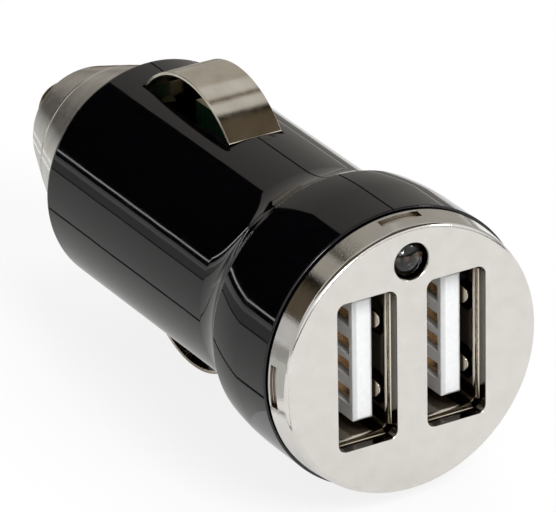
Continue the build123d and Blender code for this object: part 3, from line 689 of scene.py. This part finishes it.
def board_green():
    """Green lacquer over tracks on the sides that look along X, and a pale cut edge elsewhere."""
    finish = Finish("board_green", (0.03, 0.12, 0.05), 0.35)
    across = calculate(finish.tree, "ABSOLUTE", finish.normal("X"))
    tracks = finish.add(
        "TexBrick",
        {"Vector": finish.stretched((TRACK_SCALE, TRACK_SCALE, TRACK_SCALE))},
        Scale=1.0,
        Mortar_Size=0.08,
        Color1=(0.01, 0.08, 0.03, 1.0),
        Color2=(0.015, 0.10, 0.04, 1.0),
        Mortar=(0.008, 0.055, 0.02, 1.0),
    )
    edge = finish.ramp(finish.noise(0.3, 4.0), (0.3, (0.24, 0.20, 0.12)), (0.7, (0.36, 0.31, 0.20)))
    sides = finish.add("MixRGB", {"Fac": across, "Color1": edge, "Color2": tracks.outputs["Color"]})
    finish.link(sides.outputs["Color"], "Base Color")
    finish.link(finish.spread(finish.noise(0.5), 0.28, 0.42), "Roughness")
    finish.bump(tracks.outputs["Fac"], 0.02)
    return finish.material


def copper_winding():
    """Turns of copper wire, side by side."""
    finish = Finish("copper_winding", (0.72, 0.33, 0.14), 0.3, metallic=1.0)
    vector = finish.stretched((1.0, 1.0, 1.0))
    bands = finish.add("TexWave", {"Vector": vector}, Scale=WIRE_SCALE, Distortion=0.4)
    bands.bands_direction = "X"
    turns = finish.ramp(bands.outputs["Fac"], (0.1, (0.32, 0.11, 0.04)), (0.7, (0.75, 0.36, 0.16)))
    finish.link(turns, "Base Color")
    finish.link(finish.spread(finish.noise(0.4), 0.25, 0.4), "Roughness")
    finish.bump(bands.outputs["Fac"], 0.06)
    return finish.material


MATERIALS = {
    "gloss_black": gloss_black(),
    "satin_nickel": satin_nickel(),
    "plated_nose": turned_nose(),
    "clear_lens": clear_lens(),
    "board_green": board_green(),
    "copper_winding": copper_winding(),
}
for name, *values in PLATED:
    MATERIALS[name] = plated(name, *values)
for name, *values in SPECKLED:
    MATERIALS[name] = speckled(name, *values)


def housing_section():
    """Section of the hollow housing as (radius, station) points."""
    roll_y = -NECK_LENGTH - HEAD_ROLL
    edge = (HEAD_EDGE_RADIUS, -NECK_LENGTH)
    roll = (HEAD_RADIUS - (HEAD_RADIUS - HEAD_EDGE_RADIUS) / 4, roll_y + HEAD_ROLL / 2)
    cove = ((HEAD_EDGE_RADIUS + BARREL_RADIUS) / 2 - NECK_DIP, -NECK_LENGTH / 2)
    seat = board_high.x + BOARD_GAP
    rib = board_high.x - RIB
    front = board_low.y - BOARD_GAP
    rear = board_high.y + BOARD_GAP
    outside = rounded(
        (RIM_RADIUS, RIM_FRONT, 0),
        (RIM_RADIUS, SEAM_Y, 0),
        (HEAD_RADIUS, SEAM_Y, SEAM_ROUND),
        (HEAD_RADIUS, roll_y, 0),
    )
    outside += arc((HEAD_RADIUS, roll_y), roll, edge, ROLL_STEPS)[1:]
    outside += arc(edge, cove, (BARREL_RADIUS, 0.0), COVE_STEPS)[1:]
    inside = rounded(
        (BARREL_RADIUS, 0.0, 0),
        (BARREL_RADIUS, BARREL_END, BARREL_END_ROUND),
        (LIP_RADIUS, BARREL_END, 0),
        (LIP_RADIUS, BARREL_END - LIP_LENGTH, 0),
        (BORE, BARREL_END - LIP_LENGTH, 0),
        (BORE, -NECK_LENGTH / 4, 0),
        (rib, rear + RIB, 0),
        (rib, rear, 0),
        (seat, rear, 0),
        (seat, front, 0),
        (rib, front, 0),
        (rib, front - RIB, 0),
        (HEAD_BORE, front - RIB, 0),
        (HEAD_BORE, RIM_FRONT, 0),
    )
    return outside + inside[1:]


def half_shells():
    """The two half shells of the housing, parted along the plug's middle."""
    reach = HEAD_RADIUS + CLEAR
    for name, x in (("left_shell", (-reach, -PARTING)), ("right_shell", (PARTING, reach))):
        shell = lathe(name + "_moulding", housing_section(), True)
        slot = block(
            "slot",
            (-SLOT_HALF_WIDTH, SLOT_HALF_WIDTH),
            (CONTACT_MIDDLE - SLOT_HALF_LENGTH, CONTACT_MIDDLE + SLOT_HALF_LENGTH),
            (-ARCH_TOP, ARCH_TOP),
        )
        combine(shell, "DIFFERENCE", slot)
        half = block("half", x, (FACE_Y - CLEAR, BARREL_END + CLEAR), (-reach, reach))
        combine(shell, "INTERSECT", half)
        soften(shell, MOULDING_EDGE)
        place(shell, "housing", "gloss_black", name)


def port_cutter(x):
    """Cutter for a port opening, flared to a quarter-round edge at the face."""
    rings = [(FACE_Y - CLEAR, PORT_EDGE)]
    for step in range(ARC_STEPS + 1):
        depth = PORT_EDGE * step / ARC_STEPS
        flare = PORT_EDGE - math.sqrt(PORT_EDGE ** 2 - (PORT_EDGE - depth) ** 2)
        rings.append((FACE_Y + depth, flare))
    rings.append((FACE_Y + CAP_FACE + CLEAR, 0.0))
    loops = []
    for y, flare in rings:
        outline = rounded_rectangle(PORT_WIDTH + 2 * flare, PORT_HEIGHT + 2 * flare, PORT_CORNER + flare)
        loops.append([(x + px, y, pz) for px, pz in outline])
    return solid("port", loops)


def lamp_hole_cutter():
    """Cutter for the lamp's hole, with a bevelled edge at the face."""
    hole = LAMP_RADIUS + FIT
    section = [
        (0, FACE_Y - CLEAR),
        (hole + PORT_EDGE, FACE_Y - CLEAR),
        (hole + PORT_EDGE, FACE_Y),
        (hole, FACE_Y + PORT_EDGE),
        (hole, FACE_Y + CAP_FACE + CLEAR),
        (0, FACE_Y + CAP_FACE + CLEAR),
    ]
    return lathe("hole", section, False, LAMP_Z)


def pocket(turn):
    """Cutter for a shallow pocket in the skirt, with a floor that follows the skirt."""
    rings = []
    for step in range(ARC_STEPS + 1):
        x = POCKET_WIDTH * (step / ARC_STEPS - 0.5)
        floor = math.sqrt(POCKET_FLOOR ** 2 - x ** 2)
        corners = ((POCKET_REAR - POCKET_LENGTH, floor), (POCKET_REAR, floor))
        rings.append([(x, y, z) for y, z in corners] + [(x, y, z + CLEAR) for y, z in reversed(corners)])
    cutter = solid("pocket", rings)
    cutter.data.transform(Matrix.Rotation(math.radians(turn), 4, "Y"))
    return cutter


def front_cap():
    """Nickel cap with its port openings, lamp hole and pockets."""
    section = rounded(
        (0, FACE_Y, 0),
        (CAP_RADIUS - CAP_DRAFT, FACE_Y, CAP_ROUND),
        (CAP_RADIUS, CAP_REAR, FINE_ROUND),
        (CAP_RADIUS - CAP_SKIRT, CAP_REAR, FINE_ROUND),
        (CAP_RADIUS - CAP_SKIRT, FACE_Y + CAP_FACE, 0),
        (0, FACE_Y + CAP_FACE, 0),
    )
    cap = lathe("front_cap_plate", section, False)
    combine(cap, "DIFFERENCE", port_cutter(-PORT_X), port_cutter(PORT_X), lamp_hole_cutter())
    for number in range(POCKETS):
        combine(cap, "DIFFERENCE", pocket(360 / POCKETS * number))
    soften(cap, SHEET_EDGE, SHEET_ANGLE)
    place(cap, "housing", "satin_nickel", "front_cap")


def lip(wall, length, turn):
    """Lip at the socket's mouth, curled out from a wall along its straight part."""
    root = (wall, SOCKET_FRONT + FLARE_LENGTH + SHEET)
    bow = (wall + FLARE * FLARE_BOW, SOCKET_FRONT + FLARE_LENGTH / 2)
    inner = arc(root, bow, (wall + FLARE, SOCKET_FRONT), ARC_STEPS)
    section = inner + [(x + SHEET, y) for x, y in reversed(inner)]
    piece = solid("lip", [[(x, y, z) for x, y in section] for z in (-length / 2, length / 2)])
    piece.data.transform(Matrix.Rotation(math.radians(turn), 4, "Y"))
    return piece


def finger_path(travel):
    """Depth below the wall and station of a spring finger's middle, from its root at 0 to its tip at 1."""
    sink = FINGER_BEND * (0.5 - 0.5 * math.cos(math.pi * min(1.0, travel / FINGER_DIP)))
    lift = SHEET * max(0.0, (travel - FINGER_DIP) / (1 - FINGER_DIP)) ** 2
    return sink - lift, WINDOW_FRONT + SHEET + (1 - travel) * WINDOW_LENGTH


def spring_finger(side, middle_z):
    """Finger bent into the socket, with a round tip."""
    wall = SOCKET_WIDTH / 2 + SHEET / 2
    rings = []
    for column in range(FINGER_COLUMNS + 1):
        across = -1 + 2 * column / FINGER_COLUMNS
        reach = 1 - (1 - math.sqrt(1 - min(1.0, abs(across)) ** 2)) * FINGER_WIDTH / 2 / WINDOW_LENGTH
        middle = [finger_path(reach * row / FINGER_ROWS) for row in range(FINGER_ROWS + 1)]
        z = middle_z + across * FINGER_WIDTH / 2
        outer = [(side * (wall + FINGER_HALF - sink), y, z) for sink, y in middle]
        inner = [(side * (wall - FINGER_HALF - sink), y, z) for sink, y in middle]
        rings.append(outer + inner[::-1])
    return solid("finger", rings)


def window_cutter(side, middle_z):
    """Cutter for an eight-sided window in a socket's wall."""
    cut = WINDOW_CORNER
    low, high = -WINDOW_HEIGHT / 2, WINDOW_HEIGHT / 2
    end = WINDOW_FRONT + WINDOW_LENGTH
    corners = (
        (WINDOW_FRONT, low + cut),
        (WINDOW_FRONT + cut, low),
        (end - cut, low),
        (end, low + cut),
        (end, high - cut),
        (end - cut, high),
        (WINDOW_FRONT + cut, high),
        (WINDOW_FRONT, high - cut),
    )
    sides = (side * (SOCKET_WIDTH / 2 - SHEET), side * (SOCKET_WIDTH / 2 + 2 * SHEET))
    return solid("window", [[(x, y, middle_z + z) for y, z in corners] for x in sides])


def socket_shell(side, x):
    """Folded shell of one socket: tube, lips at the mouth, windows with spring fingers, and board tabs."""
    outer = rounded_rectangle(SOCKET_WIDTH + 2 * SHEET, SOCKET_HEIGHT + 2 * SHEET, SOCKET_CORNER + SHEET)
    inner = rounded_rectangle(SOCKET_WIDTH, SOCKET_HEIGHT, SOCKET_CORNER)
    front = SOCKET_FRONT + FLARE_LENGTH
    walls = ((outer, SOCKET_REAR), (outer, front), (inner, front), (inner, SOCKET_REAR))
    shell = solid(side + "_port_sheet", [[(px, y, pz) for px, pz in loop] for loop, y in walls], True)
    corner = 2 * SOCKET_CORNER
    for turn in (0, 180):
        combine(shell, "UNION", lip(SOCKET_WIDTH / 2, SOCKET_HEIGHT - corner, turn))
        combine(shell, "UNION", lip(SOCKET_HEIGHT / 2, SOCKET_WIDTH - corner, turn + 90))
    for wall in (-1, 1):
        for z in (-FINGER_Z, FINGER_Z):
            combine(shell, "DIFFERENCE", window_cutter(wall, z))
            combine(shell, "UNION", spring_finger(wall, z))
    for z in (-SOCKET_HEIGHT / 4, SOCKET_HEIGHT / 4):
        tab = block(
            "tab",
            (SOCKET_WIDTH / 2 + TAB_INSET, SOCKET_WIDTH / 2 + SHEET - TAB_INSET),
            (SOCKET_REAR - SHEET, socket_high.y),
            (z - TAB_WIDTH / 2, z + TAB_WIDTH / 2),
        )
        combine(shell, "UNION", tab)
    shell.data.transform(Matrix.Translation((x, 0, 0)))
    soften(shell, SHEET_EDGE, SHEET_ANGLE)
    place(shell, "housing", "bright_nickel", side + "_port_shell")


def lamp():
    """Clear lamp with a domed end and a rim."""
    back = lamp_high.y
    rim_front = back - LAMP_RIM_THICKNESS
    barrel = rounded(
        (LAMP_RADIUS, lamp_low.y + LAMP_DOME, 0),
        (LAMP_RADIUS, rim_front, FINE_ROUND),
        (LAMP_RIM_RADIUS, rim_front, FINE_ROUND),
        (LAMP_RIM_RADIUS, back, FINE_ROUND),
        (0, back, 0),
    )
    section = dome(LAMP_RADIUS, lamp_low.y, LAMP_DOME) + [tuple(point) for point in barrel[1:]]
    lens = lathe("lamp_dome", section, False, LAMP_Z)
    soften(lens, 0)
    place(lens, "housing", "clear_lens", "lamp_lens")


def lamp_frame():
    """Metal frame that shows inside the clear lamp: a post, and an anvil with a cup at its front."""
    back = lamp_high.y - MOULDING_EDGE
    cup_y = lamp_low.y + LAMP_DOME + LAMP_FRAME_SINK
    section = [
        (0, cup_y + LAMP_CUP / 2),
        (LAMP_CUP / 2, cup_y + LAMP_CUP / 2),
        (LAMP_CUP_MOUTH, cup_y),
        (LAMP_CUP, cup_y),
        (LAMP_CUP, cup_y + LAMP_CUP),
        (0, cup_y + LAMP_CUP),
    ]
    metal = lathe("lamp_frame", section, False, LAMP_Z)
    z = (LAMP_Z - LAMP_CUP / 2, LAMP_Z + LAMP_CUP / 2)
    for x, sink in ((LAMP_ANVIL, LAMP_ANVIL_SINK), (LAMP_POST, LAMP_POST_SINK)):
        combine(metal, "UNION", block("plate", x, (cup_y + sink, back), z))
    soften(metal, FRAME_EDGE)
    place(metal, "housing", "tinned_lead")


def leaf_section():
    """Side view of a leaf contact as (station, height) points."""
    inner_leg = LEG - CONTACT_SHEET
    foot_top = FOOT_LOW + CONTACT_SHEET
    radius = (LEG ** 2 + (ARCH_TOP - LEG_TOP) ** 2) / (2 * (ARCH_TOP - LEG_TOP))
    centre = ARCH_TOP - radius
    inner_top = centre + math.sqrt((radius - CONTACT_SHEET) ** 2 - inner_leg ** 2)
    outside = arc((-LEG, LEG_TOP), (0.0, ARCH_TOP), (LEG, LEG_TOP), LEAF_STEPS)
    under = (0.0, ARCH_TOP - CONTACT_SHEET)
    inside = arc((inner_leg, inner_top), under, (-inner_leg, inner_top), LEAF_STEPS)
    right = rounded(
        (LEG, LEG_TOP, 0),
        (LEG, foot_top, FOOT_BEND),
        (FOOT_END, foot_top, FINE_ROUND),
        (FOOT_END, FOOT_LOW, FINE_ROUND),
        (inner_leg, FOOT_LOW, FOOT_HEEL),
        (inner_leg, inner_top, 0),
    )[1:-1]
    left = [(-y, z) for y, z in reversed(right)]
    return outside + [tuple(point) for point in right] + inside + left


def leaf_contact(node, body, flip):
    """Arched leaf spring across its slot."""
    rings = []
    for x in (-CONTACT_HALF_WIDTH, CONTACT_HALF_WIDTH):
        rings.append([(x, CONTACT_MIDDLE + y, flip * z) for y, z in leaf_section()])
    leaf = solid(node + "_leaf", rings)
    soften(leaf, LEAF_EDGE)
    place(leaf, body, "bright_nickel", node)


def nose_collar():
    """Band at the end of the barrel, with a flange behind the housing's lip."""
    flange_y = collar_low.y
    section = rounded(
        (COLLAR_BORE, flange_y, 0),
        (COLLAR_FLANGE_RADIUS, flange_y, 0),
        (COLLAR_FLANGE_RADIUS, flange_y + COLLAR_FLANGE, 0),
        (LIP_RADIUS - FIT, flange_y + COLLAR_FLANGE, 0),
        (LIP_RADIUS - FIT, COLLAR_BASE, 0),
        (COLLAR_RADIUS, COLLAR_BASE, COLLAR_ROUND),
        (STEP_RADIUS, STEP_Y, STEP_ROUND),
        (COLLAR_BORE, STEP_Y, 0),
    )
    piece = lathe("nose_collar_turned", section, True)
    soften(piece, 0)
    place(piece, "housing", "plated_nose", "nose_collar")


def nose_cap():
    """Cone with a spigot in the collar and a hole for the pin."""
    spigot = COLLAR_BORE - FIT
    hollow = spigot - NOSE_WALL
    slope = NOSE_TAPER / NOSE_SHOULDER
    inside = STEP_RADIUS - NOSE_WALL
    section = rounded(
        (hollow, nose_low.y, 0),
        (spigot, nose_low.y, FINE_ROUND),
        (spigot, NOSE_CAP_Y, 0),
        (STEP_RADIUS, NOSE_CAP_Y, 2 * STEP_ROUND),
        (STEP_RADIUS - NOSE_TAPER, NOSE_CAP_Y + NOSE_SHOULDER, NOSE_SHOULDER_ROUND),
        (NOSE_FRONT_RADIUS, NOSE_Y, NOSE_FRONT_ROUND),
        (TIP_HOLE, NOSE_Y, FINE_ROUND),
        (TIP_HOLE, TIP_SEAT, 0),
        (inside - slope * (TIP_SEAT - NOSE_CAP_Y), TIP_SEAT, 0),
        (hollow, NOSE_CAP_Y + (inside - hollow) / slope, 0),
    )
    piece = lathe("nose_cap_turned", section, True)
    soften(piece, 0)
    place(piece, "housing", "plated_nose", "nose_cap")


def tip_contact():
    """Centre pin with a flange behind the cone's front wall and a round end."""
    flange_front = TIP_SEAT - FIT
    flange_back = flange_front - TIP_FLANGE_THICKNESS
    end = tip_high.y
    stem = rounded(
        (0, tip_low.y, 0),
        (TIP_STUB_RADIUS, tip_low.y, TIP_STUB_ROUND),
        (TIP_STUB_RADIUS, flange_back, 0),
        (TIP_FLANGE_RADIUS, flange_back, FINE_ROUND),
        (TIP_FLANGE_RADIUS, flange_front, FINE_ROUND),
        (TIP_RADIUS, flange_front, 0),
        (TIP_RADIUS, end - TIP_DOME, 0),
    )
    round_end = dome(TIP_RADIUS, end, -TIP_DOME)[::-1]
    piece = lathe("tip_contact_turned", [tuple(point) for point in stem] + round_end[1:], False)
    soften(piece, 0)
    place(piece, "tip", "bright_nickel", "tip_contact", look="worn_tip")


half_shells()
front_cap()
lamp()
lamp_frame()
leaf_contact("top_contact", "top_leaf", 1)
leaf_contact("bottom_contact", "bottom_leaf", -1)
nose_collar()
nose_cap()
tip_contact()
for side, x in (("left", -PORT_X), ("right", PORT_X)):
    socket_shell(side, x)
    dressed(side + "_port_tongue", "housing", "white_insulator", TONGUE_EDGE)
    dressed(side + "_port_contacts", "housing", "gold_contact", BLADE_EDGE)

# The inner pieces keep their CAD shape
slots = {entry["node"]: entry["material_slot"] for entry in frame["record"]["subparts"]}
for name, node in frame["nodes"].items():
    node.data.materials.clear()
    node.data.materials.append(MATERIALS[slots[name]])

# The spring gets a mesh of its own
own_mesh(frame["nodes"]["tip_spring"])


def empty_tree(owner):
    """Node tree of a material or world, with nothing in it."""
    owner.use_nodes = True
    owner.node_tree.nodes.clear()
    return owner.node_tree


def shining(name, color):
    """Stage material of one even brightness."""
    material = bpy.data.materials.new(name)
    tree = empty_tree(material)
    glow = add_node(tree, "Emission", Color=(*color, 1.0))
    add_node(tree, "OutputMaterial", {"Surface": glow.outputs[0]})
    return material


def fading(name, axis, reach, first, last):
    """Stage material whose tone runs evenly between two places along an axis."""
    material = shining(name, first)
    tree = material.node_tree
    spot = add_node(tree, "NewGeometry").outputs["Position"]
    along = add_node(tree, "SeparateXYZ", {0: spot}).outputs[axis]
    share = add_node(tree, "MapRange", {"Value": along}, From_Min=reach[0], From_Max=reach[1])
    ends = {"Color1": (*first, 1.0), "Color2": (*last, 1.0)}
    tone = add_node(tree, "MixRGB", {"Fac": share.outputs["Result"]}, **ends)
    tree.links.new(tone.outputs["Color"], tree.nodes["Emission"].inputs["Color"])
    return material


def own_light(tree, eye, mirror):
    """Share of a background's own light: one to the eye, one in gloss and glass, and none elsewhere."""
    path = add_node(tree, "LightPath").outputs
    bounced = calculate(tree, "MAXIMUM", path["Is Glossy Ray"], path["Is Transmission Ray"])
    direct = calculate(tree, "MULTIPLY", path["Is Camera Ray"], eye)
    return calculate(tree, "MULTIPLY_ADD", bounced, mirror, direct)


def shared(tree, share, plain, glow):
    """Plain shader that gives way to a glowing one by a share."""
    return add_node(tree, "MixShader", {"Fac": share, 1: plain.outputs[0], 2: glow.outputs[0]}).outputs[0]


def floor_white():
    """Pale floor that takes shadows and is nearly white to the eye."""
    material = bpy.data.materials.new("floor_white")
    tree = empty_tree(material)
    plain = add_node(tree, "BsdfDiffuse", Color=FLOOR_TONE)
    glow = add_node(tree, "Emission", Color=WHITE)
    surface = shared(tree, own_light(tree, *FLOOR_SHARES), plain, glow)
    add_node(tree, "OutputMaterial", {"Surface": surface})
    return material


def world_light():
    """White for the eye, pale grey in reflections, and a soft even light on the object."""
    world = bpy.data.worlds.new("studio")
    bpy.context.scene.world = world
    tree = empty_tree(world)
    light = add_node(tree, "Background", Color=WHITE, Strength=AMBIENT)
    seen = add_node(tree, "Background", Color=WHITE)
    surface = shared(tree, own_light(tree, *WORLD_SHARES), light, seen)
    add_node(tree, "OutputWorld", {"Surface": surface})


def stage_piece(name, points, faces, material):
    """Piece of the stage, which is no part of the object."""
    mesh = bpy.data.meshes.new(name)
    mesh.from_pydata(points, [], faces)
    mesh.materials.append(material)
    piece = bpy.data.objects.new(name, mesh)
    bpy.context.scene.collection.objects.link(piece)
    return piece


def only_mirrored(piece):
    """Let a stage piece show in gloss and glass, and nowhere else."""
    piece.visible_camera = False
    piece.visible_diffuse = False
    piece.visible_shadow = False


def flat(name, x, y, z, material):
    """Level stage piece between two values of X and Y."""
    points = [(x[0], y[0], z), (x[1], y[0], z), (x[1], y[1], z), (x[0], y[1], z)]
    return stage_piece(name, points, [range(4)], material)


def between(ends, step, steps):
    """Angle in radians at a step between two ends in degrees."""
    return math.radians(ends[0] + (ends[1] - ends[0]) * step / steps)


def panel(name, azimuths, elevations, material, distance=PANEL_DISTANCE):
    """Curved panel round the object, for reflections only."""
    points = []
    for row in range(PANEL_ROWS + 1):
        up = between(elevations, row, PANEL_ROWS)
        for column in range(PANEL_COLUMNS + 1):
            side = between(azimuths, column, PANEL_COLUMNS)
            ray = Vector((math.cos(up) * math.sin(side), math.cos(up) * math.cos(side), math.sin(up)))
            points.append(ray * distance)
    faces = []
    for row in range(PANEL_ROWS):
        for column in range(PANEL_COLUMNS):
            first = row * (PANEL_COLUMNS + 1) + column
            above = first + PANEL_COLUMNS + 1
            faces.append((first, first + 1, above + 1, above))
    only_mirrored(stage_piece(name, points, faces, material))


def lamp_light(name, spot, size, power):
    """Soft area light aimed at the object; the panels take its place in reflections."""
    light = bpy.data.lights.new(name, "AREA")
    light.shape = "DISK"
    light.size = size
    light.energy = power
    piece = bpy.data.objects.new(name, light)
    piece.location = spot
    piece.rotation_euler = (-Vector(spot)).to_track_quat("-Z", "Y").to_euler()
    piece.visible_glossy = False
    bpy.context.scene.collection.objects.link(piece)


def photograph_camera():
    """Camera at the place that was fitted to the photograph."""
    camera = bpy.data.objects.new("camera", bpy.data.cameras.new("camera"))
    camera.data.lens = CAMERA_LENS
    camera.data.clip_start = CAMERA_CLIP
    turn = Matrix.Rotation(math.radians(-CAMERA_YAW), 4, "Z")
    tilt = Matrix.Rotation(math.radians(90 - CAMERA_PITCH), 4, "X")
    roll = Matrix.Rotation(math.radians(CAMERA_ROLL), 4, "Z")
    camera.matrix_world = Matrix.Translation(Vector(CAMERA_PLACE) * MM) @ turn @ tilt @ roll
    bpy.context.scene.collection.objects.link(camera)
    bpy.context.scene.camera = camera


def studio():
    """Pale floor, panels that the gloss mirrors, soft light and the photograph's camera."""
    floor_z = cad_box[0].z
    floor_span = (-FLOOR_REACH, FLOOR_REACH)
    flat("floor", floor_span, floor_span, floor_z, floor_white())
    for layer, (name, x, y, color) in enumerate(FLOOR_CARDS, 1):
        only_mirrored(flat(name, x, y, floor_z + layer * CARD_LIFT, shining(name, color)))
    for name, azimuths, elevations, color in PANELS:
        panel(name, azimuths, elevations, shining(name, color))
    for layer, (name, azimuths, elevations, color) in enumerate(KEYS, 1):
        panel(name, azimuths, elevations, shining(name, color), PANEL_DISTANCE - layer * KEY_GAP)
    reach = [PANEL_DISTANCE * math.sin(math.radians(azimuth)) for azimuth in NOSE_BACK[0]]
    panel("nose_back", *NOSE_BACK, fading("nose_back", "X", reach, DIM, GREY))
    fades = (
        ("nose_floor", "Y", NOSE_FLOOR, NOSE_FLOOR[1], PALE, DIM),
        ("nose_far", "X", NOSE_FAR, NOSE_FAR[0], DIM, NOSE_RIGHT),
    )
    nose_z = floor_z + NOSE_LAYER * CARD_LIFT
    for name, axis, area, reach, first, last in fades:
        only_mirrored(flat(name, *area, nose_z, fading(name, axis, reach, first, last)))
    world_light()
    for light in LIGHTS:
        lamp_light(*light)
    photograph_camera()
    bpy.context.scene.view_settings.view_transform = "Standard"


studio()
bpy.context.view_layer.update()
